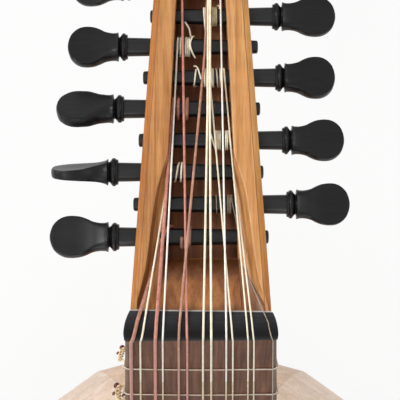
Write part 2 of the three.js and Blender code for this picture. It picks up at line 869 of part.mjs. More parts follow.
addPiece(pegbox, 'pegbox_cheek_bass', makeCheek(1), finishes.warmMaple);
addPiece(pegbox, 'pegbox_cheek_treble', makeCheek(-1), finishes.warmMaple);
addPiece(pegbox, 'pegbox_back', makePegboxBack(), finishes.darkWood);
addPiece(pegbox, 'pegbox_end', makePegboxEnd(), finishes.warmMaple);
addPiece(pegbox, 'pegbox_root_block', makeRootBlock(), finishes.insideWood);

// Pegs

// Twelve points round a turned section whose two broad faces are planed flat
function pegSection(x, radius, flat) {
  const corner = Math.min(Math.PI / 3, Math.asin(Math.min(1, flat / radius)));
  const rise = Math.min(flat, radius);
  const ring = [];
  for (const side of [1, -1]) {
    for (const share of [-1, -0.5, 0, 0.5, 1]) {
      const turn = corner * share;
      ring.push(new THREE.Vector3(x, side * radius * Math.cos(turn), side * radius * Math.sin(turn)));
    }
    ring.push(new THREE.Vector3(x, 0, side * rise));
  }
  return ring;
}

function pegGeometry(number) {
  const ringPlace = pegRingPlace(number);
  const endPlace = pegEndPlace(number);
  const headLength = pegShares[number - 1].head * pegHeadLength;
  const rings = [
    pegSection(-endPlace, pegEndRadius, pegEndRadius),
    pegSection(-endPlace + pegEndDome, pegThinRadius, pegThinRadius),
    pegSection(ringPlace, pegThickRadius, pegThickRadius),
  ];
  pegHeadShares.forEach((row, i) => {
    const x = ringPlace + row.out * headLength + (i === 0 ? pegEndDome / 2 : 0);
    const radius = row.radius * pegHeadRadius;
    const thickness = row.flat === 1 ? radius : Math.max(row.flat * pegHeadRadius, 0);
    const tip = row.out === 1 ? pegHeadThickness / 3 : thickness;
    rings.push(pegSection(x, radius, Math.min(tip, thickness)));
  });
  const geometry = loft(rings);
  geometry.rotateX(THREE.MathUtils.degToRad(pegShares[number - 1].turnDegrees));
  if (pegHeadSide(number) < 0) {
    geometry.rotateZ(Math.PI);
  }
  return geometry;
}

// Where a string's winding starts and ends on its peg, and how it lies
function windingOf(string) {
  const along = pegPlace(string.peg);
  const radius = string.diameter / 2;
  const start = string.windShare * channelHalfWidth(along);
  const pitch = string.diameter + windingPitchGap;
  const end = start + string.towards * pitch * string.turns;
  const thickest = Math.max(pegShaftRadius(string.peg, start), pegShaftRadius(string.peg, end));
  return { along, radius, start, end, pitch, coil: thickest + stringPegGap + radius };
}

function pegHoleAcross(number) {
  const string = strings.find((row) => row.peg === number);
  const { end, radius } = windingOf(string);
  const place = end + string.towards * (radius + 2 * pegHoleClearance);
  const bore = radius + pegHoleClearance;
  const length = 2 * (pegThickRadius + cutOverrun);
  const tool = new THREE.CylinderGeometry(bore, bore, length, 6);
  tool.rotateX(Math.PI / 4);
  tool.translate(place, 0, 0);
  return tool;
}

for (let number = 1; number <= pegCount; number += 1) {
  const geometry = cutAway(pegGeometry(number), [pegHoleAcross(number)]);
  const peg = addPiece(pegbox, `peg_${number}`, geometry, finishes.ebony);
  peg.position.set(0, -pegPlace(number), -pegDepth);
}

// Strings: each runs from the bridge over the nut to its peg, and is wound on it

// Places across the strings' band at the bridge, spread like those at the nut
function bridgePlace(string) {
  const outermost = Math.max(...strings.map((row) => Math.abs(row.nutShare)));
  return (string.nutShare / outermost) * (stringBandAtBridge / 2);
}

function nutPoint(string, row, lean) {
  const lift = string.diameter / 2 + stringPegGap;
  const x = string.nutShare * neckHalfWidth(0);
  const y = -row.back * nutThickness - lift * Math.sin(lean);
  return new THREE.Vector3(x, y, row.rise * nutCrownHeight + lift * Math.cos(lean));
}

// The straight stretch in the pegbox, as places along it, across it and above its rim
function pegboxSpan(string) {
  const edge = nutPoint(string, nutTopShares.at(-1), nutLeans.at(-1));
  const inverse = pegbox.matrix.clone().invert();
  const local = edge.clone().applyMatrix4(inverse);
  const { along, start, coil } = windingOf(string);
  const from = new THREE.Vector2(-local.y, local.z);
  const centre = new THREE.Vector2(along, -pegDepth);
  const away = from.clone().sub(centre);
  const distance = away.length();
  const open = Math.acos(coil / distance);
  const touch = away.angle() - open;
  const to = centre.clone().add(new THREE.Vector2(Math.cos(touch), Math.sin(touch)).multiplyScalar(coil));
  return { from, to, touch, fromX: local.x, toX: start };
}

function spanAt(span, along) {
  const share = (along - span.from.x) / (span.to.x - span.from.x);
  return { x: mix(span.fromX, span.toX, share), rise: mix(span.from.y, span.to.y, share) };
}

// Where two strings cross, each is pressed aside by half of what they lack in room
function crossingsOf(string, span) {
  const found = [];
  for (const pair of crossingPairs) {
    if (pair.includes(string.name)) {
      const [upper, lower] = pair.map((name) => strings.find((row) => row.name === name));
      const spans = [pegboxSpan(upper), pegboxSpan(lower)];
      const gapAt = (along) => spanAt(spans[0], along).x - spanAt(spans[1], along).x;
      const near = spans[0].from.x;
      const far = Math.min(spans[0].to.x, spans[1].to.x);
      const along = near + ((far - near) * gapAt(near)) / (gapAt(near) - gapAt(far));
      const room = spanAt(spans[0], along).rise - spanAt(spans[1], along).rise;
      const needed = (upper.diameter + lower.diameter) / 2 + 2 * stringPegGap;
      const push = (Math.max(needed - room, 0) / 2) * (string === upper ? 1 : -1);
      const place = spanAt(span, along);
      found.push({ along, x: place.x, rise: place.rise + push });
    }
  }
  return found;
}

// Where a string lies across another's winding, it is pressed up until it clears it
function windingsUnder(string, span) {
  const found = [];
  for (const other of strings.filter((row) => row.peg < string.peg)) {
    const { along, start, end, coil, radius } = windingOf(other);
    const place = spanAt(span, along);
    const reach = radius + stringPegGap + string.diameter / 2;
    const over = place.x > Math.min(start, end) - reach && place.x < Math.max(start, end) + reach;
    const rise = -pegDepth + coil + reach;
    if (over && place.rise < rise) {
      found.push({ along, x: place.x, rise });
    }
  }
  return found;
}

function stringPath(string) {
  const path = [];
  const rise = nutTopShares[0].rise * nutCrownHeight + string.diameter / 2 + stringPegGap;
  path.push(new THREE.Vector3(bridgePlace(string), stringLength - fitGap, stringHeightAtBridge));
  const nutX = string.nutShare * neckHalfWidth(0);
  path.push(new THREE.Vector3(nutX, -nutTopShares[0].back * nutThickness, rise));
  nutLeans.forEach((lean, i) => path.push(nutPoint(string, nutTopShares[i + 1], lean)));
  const span = pegboxSpan(string);
  const pressed = [...crossingsOf(string, span), ...windingsUnder(string, span)];
  pressed.sort((a, b) => a.along - b.along);
  pressed.forEach((place) => path.push(pegboxPoint(place.x, place.along, place.rise)));
  const { along, coil, pitch, end } = windingOf(string);
  const steps = string.turns * stepsPerTurn;
  let last = null;
  for (let i = 0; i <= steps; i += 1) {
    const turned = (i / stepsPerTurn) * 2 * Math.PI;
    const x = span.toX + string.towards * pitch * (i / stepsPerTurn);
    const place = along + coil * Math.cos(span.touch - turned);
    last = { x, place, rise: -pegDepth + coil * Math.sin(span.touch - turned) };
    path.push(pegboxPoint(last.x, last.place, last.rise));
  }
  const away = span.touch - string.turns * 2 * Math.PI;
  const run = string.diameter;
  path.push(pegboxPoint(end, last.place + run * Math.sin(away), last.rise - run * Math.cos(away)));
  return path;
}

for (const string of strings) {
  const rings = ringsAlong(stringPath(string), string.diameter / 2, stringSides, false);
  addPiece(lute, string.name, loft(rings), finish(string.colour, 0.35));
}

// The gap between neighbouring turns of each winding, measured from turn to turn
for (const string of strings) {
  const turnPoints = stringPath(string).slice(-1 - string.turns * stepsPerTurn, -1);
  let least = Infinity;
  turnPoints.forEach((point, i) => {
    for (const other of turnPoints.slice(i + stepsPerTurn - 2)) {
      least = Math.min(least, point.distanceTo(other) - string.diameter);
    }
  });
  console.log(`${string.name}: least gap between turns ${least.toFixed(2)} mm`);
}

// Frets: gut tied round the neck, thinner towards the body

function fretPlace(number) {
  return stringLength * (1 - 2 ** (-number / 12));
}

function makeFret(number) {
  const y = fretPlace(number);
  const share = (number - 1) / (fretCount - 1);
  const radius = mix(thickestFret, thinnestFret, share) / 2;
  const lift = radius + fitGap;
  const back = neckRing(y, -fingerboardThickness - fitGap, lift * fretSlack);
  const halfWidth = neckHalfWidth(y);
  const front = [-1, -0.5, 0, 0.5, 1].map((place) => {
    const corner = Math.abs(place) === 1;
    const x = place * (halfWidth + (corner ? lift / 2 : 0));
    return new THREE.Vector3(x, y, corner ? lift * fretSlack * 0.8 : lift);
  });
  const sides = [1, -1].map((side) => new THREE.Vector3(side * (halfWidth + lift * fretSlack), y, -fitGap));
  return loop([sides[0], ...back, sides[1], ...front], radius, fretSides);
}

for (let number = 1; number <= fretCount; number += 1) {
  addPiece(lute, `fret_${number}`, makeFret(number), finishes.gut);
}

// Lay the lute down: tip it until the bowl and the pegbox's end are level, then put the
// middle of its box's floor at the origin

function lowestUnder(names, tilt) {
  let lowest = Infinity;
  const point = new THREE.Vector3();
  for (const name of names) {
    const mesh = lute.getObjectByName(name);
    const position = mesh.geometry.attributes.position;
    for (let i = 0; i < position.count; i += 1) {
      point.fromBufferAttribute(position, i);
      if (mesh.parent === pegbox) {
        point.applyMatrix4(pegbox.matrix);
      }
      lowest = Math.min(lowest, point.y * Math.sin(tilt) + point.z * Math.cos(tilt));
    }
  }
  return lowest;
}

function restingTilt() {
  const middleRib = Math.ceil(ribCount / 2);
  const bowl = [`rib_${middleRib}`, `rib_${ribCount + 1 - middleRib}`];
  let low = -Math.PI / 6;
  let high = Math.PI / 6;
  for (let i = 0; i < 40; i += 1) {
    const tilt = (low + high) / 2;
    if (lowestUnder(['pegbox_end'], tilt) > lowestUnder(bowl, tilt)) {
      low = tilt;
    } else {
      high = tilt;
    }
  }
  return (low + high) / 2;
}

lute.rotation.x = restingTilt();
lute.updateMatrixWorld(true);
const box = new THREE.Box3().setFromObject(lute, true);
lute.position.set(-(box.min.x + box.max.x) / 2, -(box.min.y + box.max.y) / 2, -box.min.z);
lute.updateMatrixWorld(true);

export default lute;
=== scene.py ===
"""A seven-course renaissance lute lying on its back, seen closely from in front of its pegbox.

Shapes are worked out in the lute's own frame in millimetres: x to the bass side, y from the
nut to the tail, z out of the soundboard. In the pegbox, s runs along the rim away from the
nut and n stands out of its open front.
"""
import json
from dataclasses import dataclass
from math import acos, asin, atan2, cos, hypot, pi, radians, sin, sqrt, tan, tau

import bmesh
import bpy
from mathutils import Matrix, Vector

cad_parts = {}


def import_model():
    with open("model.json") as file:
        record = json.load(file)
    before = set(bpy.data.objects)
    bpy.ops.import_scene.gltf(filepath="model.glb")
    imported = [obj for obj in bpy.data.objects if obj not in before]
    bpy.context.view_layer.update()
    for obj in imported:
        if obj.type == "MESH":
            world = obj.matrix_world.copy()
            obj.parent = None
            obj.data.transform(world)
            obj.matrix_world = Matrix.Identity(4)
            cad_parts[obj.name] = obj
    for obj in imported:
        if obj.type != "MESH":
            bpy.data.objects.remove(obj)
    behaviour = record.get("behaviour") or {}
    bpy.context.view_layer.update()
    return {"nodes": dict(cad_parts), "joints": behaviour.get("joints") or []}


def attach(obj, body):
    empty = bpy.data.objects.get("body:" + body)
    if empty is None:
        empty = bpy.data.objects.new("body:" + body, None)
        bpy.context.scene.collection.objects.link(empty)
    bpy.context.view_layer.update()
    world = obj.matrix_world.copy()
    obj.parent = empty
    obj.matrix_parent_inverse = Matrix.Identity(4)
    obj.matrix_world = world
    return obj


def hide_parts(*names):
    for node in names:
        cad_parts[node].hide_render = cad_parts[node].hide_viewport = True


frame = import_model()
joints = {joint["name"]: joint for joint in frame["joints"]}

# Sizes, in millimetres

STRING_LENGTH = 610
NECK_LENGTH = 231.5
NECK_WIDTH = (62.5, 87)
NECK_DEPTH = (26, 34)
BOARD_THICKNESS = 3.7
BOARD_EDGE = -0.5
NUT_THICKNESS = 5.3
NUT_FACE = 11.2
NUT_HALF = 31.8
NUT_CROWN = (0.36, 0.92)
NUT_SHOULDER = 7.2
LINE_HALF = 29.15
LINE_WIDE = 0.56
LINE_START, LINE_LEAN = -0.83, 0.34 / 29
BODY_HALF_WIDTH = 160
BODY_LENGTH = 462.5
BOWL_DEPTH = 156
TO_WIDEST = 230
FULLNESS = 2.18
RIBS = 9
RIB_THICKNESS = 2
TOP_THICKNESS = 2
BOWL_TOP = -2.3
BODY_START = NECK_LENGTH
BODY_END = NECK_LENGTH + BODY_LENGTH
WIDEST = BODY_START + TO_WIDEST
BEND = radians(75)
PEGBOX_LENGTH = 218
PEGBOX_HALF, PEGBOX_TAPER = 29.2, 0.0617
CHANNEL_HALF, CHANNEL_TAPER = 16.8, 0.0429
PEGBOX_DEPTH, DEPTH_TAPER = 27, 0.0367
PEGBOX_START = 0.02
BACK_THICKNESS = 4
CHEEK_END = 210.7
CHAMFER = 2.5
FIRST_PEG = 32.5
PEG_SPACING = 14.23
PEG_DEPTH = 9.5
PEG_RADII = (2.95, 4.15)
PEG_PLAY = 0.12
PEGS = 13
FRETS = 8
FRET_RADII = (0.28, 0.24)
SEAM = 0.05
MM = 0.001


def mix(a, b, t):
    return a + (b - a) * t


def clamp(value, low=0.0, high=1.0):
    return max(low, min(high, value))


def spread(low, high, count):
    """Values spread evenly from low to high, count steps apart."""
    return [mix(low, high, k / count) for k in range(count + 1)]


def around(sides):
    """The angles of a round with so many sides."""
    return [k / sides * tau for k in range(sides)]


def table(rows, at):
    """A smooth curve through rows of (place, value)."""
    if at <= rows[0][0]:
        return rows[0][1]
    for i, ((a, value_a), (b, value_b)) in enumerate(zip(rows, rows[1:])):
        if at <= b:
            before, after = rows[max(i - 1, 0)], rows[min(i + 2, len(rows) - 1)]
            rise_a = (value_b - before[1]) / (b - before[0]) * (b - a)
            rise_b = (after[1] - value_a) / (after[0] - a) * (b - a)
            t = (at - a) / (b - a)
            return (value_a * (2 * t**3 - 3 * t**2 + 1) + value_b * (3 * t**2 - 2 * t**3)
                    + rise_a * (t**3 - 2 * t**2 + t) + rise_b * (t**3 - t**2))
    return rows[-1][1]


def in_pegbox(x, s, n):
    """A place in the pegbox, in the lute's frame."""
    return Vector((
        x,
        -NUT_THICKNESS - s * cos(BEND) - n * sin(BEND),
        -NUT_FACE - s * sin(BEND) + n * cos(BEND),
    ))


def to_pegbox(p):
    """How far along the pegbox and out of it a place lies, as (s, n)."""
    y, z = p[1] + NUT_THICKNESS, p[2] + NUT_FACE
    return -(y * cos(BEND) + z * sin(BEND)), -y * sin(BEND) + z * cos(BEND)


AXIS_X = Vector((1, 0, 0))
AXIS_Y = Vector(joints["fret_1_slide"]["axis"]).normalized()
AXIS_Z = AXIS_X.cross(AXIS_Y)
first_peg = in_pegbox(0, FIRST_PEG, -PEG_DEPTH)
ORIGIN = Vector(joints["peg_1_turn"]["pos_m"]) - (AXIS_Y * first_peg.y + AXIS_Z * first_peg.z) * MM
# Along the pegbox, away from the nut
DOWN = (AXIS_Y * -cos(BEND) + AXIS_Z * -sin(BEND)).normalized()


def world(p):
    return ORIGIN + (AXIS_X * p[0] + AXIS_Y * p[1] + AXIS_Z * p[2]) * MM


# Camera

FOCAL_PX = 1275.1
DISTANCE = 528.4
ELEVATION = radians(21.98)
PITCH = radians(6.253)
IMAGE_PX = 400
CENTRE_X_PX = 200.82
SENSOR = 36


def make_camera():
    c, s = cos(ELEVATION), sin(ELEVATION)
    ahead = AXIS_Y * c - AXIS_Z * s
    up = -AXIS_Y * s - AXIS_Z * c
    forward = ahead * cos(PITCH) + up * sin(PITCH)
    top = up * cos(PITCH) - ahead * sin(PITCH)
    data = bpy.data.cameras.new("camera")
    data.sensor_fit = "HORIZONTAL"
    data.sensor_width = SENSOR
    data.lens = SENSOR * FOCAL_PX / IMAGE_PX
    data.shift_x = 0.5 - CENTRE_X_PX / IMAGE_PX
    data.clip_start = 0.01
    camera = bpy.data.objects.new("camera", data)
    turn = Matrix((forward.cross(top), top, -forward)).transposed()
    camera.matrix_world = Matrix.Translation(world((0, -DISTANCE * c, DISTANCE * s))) @ turn.to_4x4()
    bpy.context.collection.objects.link(camera)
    bpy.context.scene.camera = camera


make_camera()

# Materials

WHITE = (255, 255, 255)


def linear(rgb):
    """A colour given as it looks on the screen, from 0 to 255, for a shader's socket."""
    shares = [channel / 255 for channel in rgb]
    return (*(v / 12.92 if v <= 0.04045 else ((v + 0.055) / 1.055) ** 2.4 for v in shares), 1)


class Shader:
    """The nodes of a material or a world, built one at a time."""

    def __init__(self, owner, **sockets):
        owner.use_nodes = True
        self.owner = owner
        self.tree = owner.node_tree
        self.surface = self.tree.nodes.get("Principled BSDF") or self.tree.nodes["Background"]
        for socket, value in sockets.items():
            self.surface.inputs[socket.replace("_", " ")].default_value = value

    def node(self, kind, inputs=None, **settings):
        node = self.tree.nodes.new(kind)
        for key, value in settings.items():
            setattr(node, key, value)
        for key, value in (inputs or {}).items():
            if isinstance(value, bpy.types.NodeSocket):
                self.tree.links.new(value, node.inputs[key])
            else:
                node.inputs[key].default_value = value
        return node

    def coordinates(self, grain, scale):
        """Object coordinates turned so that y runs along the grain, and scaled."""
        place = self.node("ShaderNodeTexCoord").outputs["Object"]
        turn = Vector(grain).rotation_difference(Vector((0, 1, 0))).to_euler()
        turned = self.node("ShaderNodeMapping", {"Vector": place, "Rotation": turn}).outputs[0]
        return self.node("ShaderNodeMapping", {"Vector": turned, "Scale": scale}).outputs[0]

    def noise(self, grain, across, along, detail, roughness=0.55, distortion=0.0):
        """Noise of so many patches a metre across and along the grain."""
        return self.node("ShaderNodeTexNoise", {
            "Vector": self.coordinates(grain, (across, along, across)), "Scale": 1, "Detail": detail,
            "Roughness": roughness, "Distortion": distortion,
        }).outputs["Fac"]

    def ramp(self, factor, *stops):
        node = self.node("ShaderNodeValToRGB", {"Fac": factor})
        elements = node.color_ramp.elements
        while len(elements) < len(stops):
            elements.new(0.5)
        for element, (place, colour) in zip(elements, stops):
            element.position = place
            element.color = linear(colour)
        return node.outputs["Color"]

    def span(self, factor, low, high, from_low=0.3, from_high=0.7):
        return self.node("ShaderNodeMapRange", {
            "Value": factor, "From Min": from_low, "From Max": from_high, "To Min": low, "To Max": high,
        }).outputs[0]

    def multiply(self, amount, colour, tones):
        inputs = {0: amount, 6: colour, 7: tones}
        return self.node("ShaderNodeMix", inputs, data_type="RGBA", blend_type="MULTIPLY").outputs[2]

    def shade(self, amount, colour, factor, tone, low=0.3, high=0.7):
        """Takes a colour towards a tone where the factor is low."""
        return self.multiply(amount, colour, self.ramp(factor, (low, tone), (high, WHITE)))

    def seen(self):
        """1 for what the camera sees, straight or by a reflection or through glass."""
        rays = self.node("ShaderNodeLightPath").outputs
        seen = rays["Is Camera Ray"]
        for ray in ("Is Glossy Ray", "Is Transmission Ray"):
            seen = self.node("ShaderNodeMath", {0: seen, 1: rays[ray]}, operation="MAXIMUM").outputs[0]
        return seen

    def finish(self, colour, roughness, height, strength, depth):
        bump = self.node("ShaderNodeBump", {"Height": height, "Strength": strength, "Distance": depth})
        ends = {"Base Color": colour, "Roughness": roughness, "Normal": bump.outputs[0]}
        for socket, source in ends.items():
            self.tree.links.new(source, self.surface.inputs[socket])
        return self.owner


def new_shader(name, **sockets):
    return Shader(bpy.data.materials.new(name), **sockets)


def wood(name, grain, dark, middle, light, across=420, along=14, pores=0.35, gloss=(0.38, 0.55),
         coat=0.0, figure=0.25, shine=0.5):
    """Varnished wood: long streaks of three tones, fine pores, and slow changes of colour."""
    shader = new_shader(f"{name}_wood", Coat_Weight=coat, Coat_Roughness=0.25, Specular_IOR_Level=shine)
    streaks = shader.noise(grain, across, along, 5, 0.6, 0.4)
    fine = shader.noise(grain, across * 5, along * 5, 3, 0.6)
    slow = shader.noise(grain, 40, 9, 2, 0.5, 0.6)
    curl = shader.noise(grain, 30, 160, 2, 0.5, 0.3)
    colour = shader.ramp(streaks, (0.28, dark), (0.48, middle), (0.72, light))
    colour = shader.shade(pores, colour, fine, (150, 140, 135), 0.36, 0.5)
    colour = shader.shade(0.55, colour, slow, (205, 196, 190))
    colour = shader.shade(figure, colour, curl, (226, 218, 210), 0.35, 0.65)
    return shader.finish(colour, shader.span(fine, *gloss), fine, 0.18, 0.00015)


def spruce():
    """Quarter-sawn spruce: fine straight year lines along the board."""
    grain = (0, 1, 0)
    shader = new_shader("spruce_top", Coat_Weight=0.15, Coat_Roughness=0.3)
    lines = shader.node("ShaderNodeTexWave", {
        "Vector": shader.coordinates(grain, (1, 0.02, 0.02)), "Scale": 260.0, "Distortion": 1.6,
        "Detail": 2.0, "Detail Scale": 40.0,
    }, wave_type="BANDS", bands_direction="X").outputs["Fac"]
    colour = shader.ramp(lines, (0.0, (240, 220, 182)), (0.62, (233, 209, 166)), (1.0, (205, 170, 120)))
    colour = shader.shade(0.5, colour, shader.noise(grain, 30, 5, 3), (224, 208, 190))
    silk = shader.noise(grain, 200, 700, 2)
    return shader.finish(colour, shader.span(silk, 0.45, 0.6), lines, 0.12, 0.0001)


def gut(name, colour, dim):
    """Twisted gut: fine slanting strands and cloudy patches."""
    gloss = 0.32
    shader = new_shader(f"{name}_gut", Roughness=gloss, Subsurface_Weight=0.25, Subsurface_Scale=0.0008,
                        Subsurface_Radius=(1.0, 0.8, 0.6))
    cloud = shader.noise((0, 1, 0), 300, 300, 4, 0.6)
    strands = shader.noise((0.35, 1, 0.2), 2600, 2600 / 6, 2, 0.5)
    tone = shader.ramp(cloud, (0.3, dim), (0.62, colour))
    tone = shader.shade(0.3, tone, strands, dim, 0.38, 0.6)
    return shader.finish(tone, shader.span(cloud, gloss - 0.06, gloss + 0.12), strands, 0.15, 0.00005)


def black_wood(name, gloss=(0.28, 0.42), tones=((12, 12, 13), (18, 18, 20), (28, 27, 28)), shine=0.22):
    """Ebony, or pear stained like it, its grain across the lute."""
    shader = new_shader(f"{name}_wood", Roughness=0.35, Specular_IOR_Level=shine)
    streaks = shader.noise(AXIS_X, 900, 40, 5, 0.6, 0.3)
    slow = shader.noise(AXIS_X, 60, 30, 2)
    colour = shader.ramp(streaks, *zip((0.3, 0.55, 0.8), tones))
    colour = shader.shade(0.4, colour, slow, (190, 186, 184))
    return shader.finish(colour, shader.span(slow, *gloss), streaks, 0.1, 0.00008)


def toned(wooden, direction, *stops):
    """Multiplies a wood's colour by tones, at places in millimetres from the nut along a direction."""
    shader = Shader(wooden)
    place = shader.node("ShaderNodeTexCoord").outputs["Object"]
    along = shader.node("ShaderNodeVectorMath", {0: place, 1: direction}, operation="DOT_PRODUCT")
    start = world(in_pegbox(0, 0, 0)).dot(direction)
    low, high = stops[0][0], stops[-1][0]
    share = shader.span(along.outputs["Value"], 0.0, 1.0, start + low * MM, start + high * MM)
    tones = shader.ramp(share, *(((at - low) / (high - low), tone) for at, tone in stops))
    socket = shader.surface.inputs["Base Color"]
    shader.tree.links.new(shader.multiply(1.0, socket.links[0].from_socket, tones), socket)


cheek_wood = wood("cheek", DOWN, (164, 104, 54), (196, 138, 82), (218, 166, 106), shine=0.3)
light_cheek_wood = wood("light_cheek", DOWN, (180, 116, 62), (214, 154, 94), (232, 180, 120), shine=0.3)
shade_wood = wood("shade", DOWN, (120, 72, 34), (150, 94, 50), (172, 116, 66), shine=0.3)
scoop_wood = wood("scoop", DOWN, (172, 110, 58), (206, 148, 90), (226, 174, 114))
arris_wood = wood("arris", DOWN, (158, 94, 44), (186, 118, 57), (202, 136, 74), shine=0.15)
light_arris_wood = wood("light_arris", DOWN, (180, 122, 62), (207, 150, 86), (222, 168, 106), shine=0.15)
groove_wood = wood("groove", DOWN, (120, 70, 36), (150, 94, 54), (170, 112, 68))
dark_wood = wood("dark", DOWN, (110, 64, 38), (150, 92, 54), (182, 118, 74), gloss=(0.45, 0.65))
floor_wood = wood("floor", DOWN, (124, 74, 34), (168, 106, 54), (198, 136, 76), across=380)
neck_wood = wood("neck", AXIS_Y, (178, 116, 68), (202, 144, 92), (220, 166, 112), coat=0.15)
rosewood = dict(across=560, along=22, gloss=(0.45, 0.62), shine=0.12)
board_wood = wood("fingerboard", AXIS_Y, (80, 46, 34), (112, 74, 54), (142, 102, 78), figure=0.6,
                  **rosewood)
board_edge_wood = wood("board_edge", AXIS_Y, (92, 76, 64), (120, 102, 86), (146, 128, 110), **rosewood)
rib_looks = dict(across=300, along=8, coat=0.2, pores=0.2, figure=0.5)
rib_wood = wood("rib", AXIS_Y, (236, 202, 172), (249, 222, 198), (253, 238, 222), **rib_looks)
deep_rib_wood = wood("deep_rib", AXIS_Y, (214, 172, 138), (232, 196, 164), (243, 214, 186), **rib_looks)
bridge_wood = wood("bridge", AXIS_X, (52, 32, 22), (78, 52, 36), (98, 68, 48))
raw_wood = wood("raw", AXIS_X, (196, 166, 120), (217, 189, 144), (230, 206, 164), gloss=(0.6, 0.8))
line_wood = wood("line", AXIS_X, (156, 150, 144), (184, 179, 174), (204, 200, 196), across=200)
top_wood = spruce()
peg_wood = black_wood("peg")
shaft_wood = black_wood("shaft", shine=0.36)
nut_wood = black_wood("nut", (0.5, 0.62), ((46, 45, 49), (56, 55, 59), (66, 64, 68)), 0.14)
fret_gut = gut("fret", (248, 234, 218), (220, 200, 178))
shaded_gut = gut("shaded", (156, 136, 118), (120, 100, 84))
knot_gut = gut("knot", (244, 230, 196), (204, 176, 132))
burnt_gut = gut("burnt", (112, 44, 40), (66, 24, 24))
dull_gut = gut("dull", (146, 96, 66), (104, 62, 44))
copper = gut("copper", (190, 134, 112), (154, 100, 80))
tawny = gut("tan", (196, 146, 122), (164, 114, 92))
rose = gut("rose", (208, 144, 126), (178, 112, 96))
white = gut("white", (255, 252, 246), (238, 230, 216))
cream = gut("cream", (253, 245, 226), (236, 222, 192))
straw = gut("straw", (178, 162, 142), (140, 124, 104))
olive = gut("olive", (238, 228, 196), (204, 192, 152))
dusty = gut("dusty", (164, 126, 112), (124, 90, 78))
# Pale strings' gut over the fingerboard, darker and creamier: painted shade
board_shade = gut("board_shade", (228, 212, 174), (196, 176, 136))

# The root's floor is a little darker at the nut, painted shadow darkens it most before its far end, and a
# painted highlight runs along that end
toned(floor_wood, DOWN, (0, (214, 206, 200)), (3, WHITE), (12, (245, 240, 236)), (17, (186, 176, 168)),
      (23.2, (140, 132, 126)), (24.2, (236, 226, 214)))
# The channel's floor is painted with shade along both walls, following them as they come in towards the far
# end
for wall in (AXIS_X, -AXIS_X):
    toned(dark_wood, wall + DOWN * CHANNEL_TAPER, (0, WHITE), (13.9, WHITE), (15.3, (186, 182, 180)),
          (16.6, (136, 132, 130)))
# The nut's colour is painted with light and shade: blackest at its crown, and greyer down to the pale line
toned(nut_wood, AXIS_Z, (0, WHITE), (3, (226, 224, 224)), (7, (168, 166, 166)), (9.5, (100, 99, 99)),
      (12, (84, 82, 82)))
# The treble cheek's arris is browner near the nut; its scoop has painted shade in a wedge by the nut, with a
# darker painted shadow line along the wedge's slanting edge
toned(light_arris_wood, DOWN, (0, (232, 212, 208)), (24, (240, 224, 198)), (44, (242, 228, 202)), (62, WHITE))
toned(scoop_wood, DOWN * 0.51 - AXIS_X, (10, (182, 168, 162)), (26.6, (176, 158, 148)),
      (27.3, (124, 96, 78)), (27.8, WHITE))

# Mesh helpers


def smooth(mesh, sharp):
    mesh.shade_smooth()
    mesh.set_sharp_from_angle(angle=radians(sharp))


def piece(name, shape, *materials, body="lute", slot=None, node=None, sharp=32, look_of=None):
    """An object from points and faces in the lute's frame, turned outward, that rides on a body and
    stands for a CAD node. look_of tells for a face's number which of the materials it has."""
    points, faces = shape
    mesh = bpy.data.meshes.new(name)
    mesh.from_pydata([tuple(world(p)) for p in points], [], faces)
    for material in materials:
        mesh.materials.append(material)
    if look_of:
        mesh.polygons.foreach_set("material_index", [int(look_of(f)) for f in range(len(faces))])
    work = bmesh.new()
    work.from_mesh(mesh)
    bmesh.ops.remove_doubles(work, verts=work.verts, dist=1e-7)
    bmesh.ops.recalc_face_normals(work, faces=work.faces)
    work.to_mesh(mesh)
    work.free()
    smooth(mesh, sharp)
    obj = bpy.data.objects.new(name, mesh)
    bpy.context.collection.objects.link(obj)
    if body:
        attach(obj, body)
    if node:
        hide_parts(node)
    return obj


def skin(rings, caps=True, closed=False):
    """Points and faces over a row of rings with the same number of points."""
    count = len(rings[0])
    points = [p for ring in rings for p in ring]
    faces = []
    for r in range(len(rings) if closed else len(rings) - 1):
        a, b = r * count, ((r + 1) % len(rings)) * count
        for i in range(count):
            j = (i + 1) % count
            faces.append((a + i, a + j, b + j, b + i))
    if caps and not closed:
        faces.append(tuple(range(count)))
        faces.append(tuple(range(len(points) - count, len(points))))
    return points, faces


def joined(parts):
    """Several (points, faces) as one."""
    points, faces = [], []
    for more_points, more_faces in parts:
        start = len(points)
        points += list(more_points)
        faces += [tuple(i + start for i in face) for face in more_faces]
    return points, faces


def tube(path, radius, sides=8, closed=False):
    """A round cord along a path. radius is a number or one for each point."""
    radii = radius if isinstance(radius, list) else [radius] * len(path)
    rings = []
    lean = None
    for i, point in enumerate(path):
        before = path[i - 1] if closed or i > 0 else path[0]
        after = path[(i + 1) % len(path)] if closed or i + 1 < len(path) else path[-1]
        ahead = (after - before).normalized()
        if lean is None:
            lean = AXIS_X if abs(ahead.x) < 0.8 else Vector((0, 0, 1))
        lean = (lean - ahead * lean.dot(ahead)).normalized()
        other = ahead.cross(lean)
        rings.append([point + (lean * cos(t) + other * sin(t)) * radii[i] for t in around(sides)])
    return skin(rings, closed=closed)


def smooth_path(points, steps):
    """A smooth line through points."""
    out = []
    for i, (a, b) in enumerate(zip(points, points[1:])):
        before, after = points[max(i - 1, 0)], points[min(i + 2, len(points) - 1)]
        for t in (k / steps for k in range(steps)):
            out.append((a * 2 + (b - before) * t + (before * 2 - a * 5 + b * 4 - after) * t**2
                        + (a * 3 - before - b * 3 + after) * t**3) * 0.5)
    out.append(points[-1])
    return out


def bevel(obj, width_mm, segments=2, angle=35):
    work = bmesh.new()
    work.from_mesh(obj.data)
    edges = [e for e in work.edges if len(e.link_faces) == 2 and e.calc_face_angle() > radians(angle)]
    bmesh.ops.bevel(work, geom=edges, offset=width_mm * MM, segments=segments, affect="EDGES",
                    profile=0.6, clamp_overlap=True)
    work.to_mesh(obj.data)
    work.free()
    smooth(obj.data, 32)


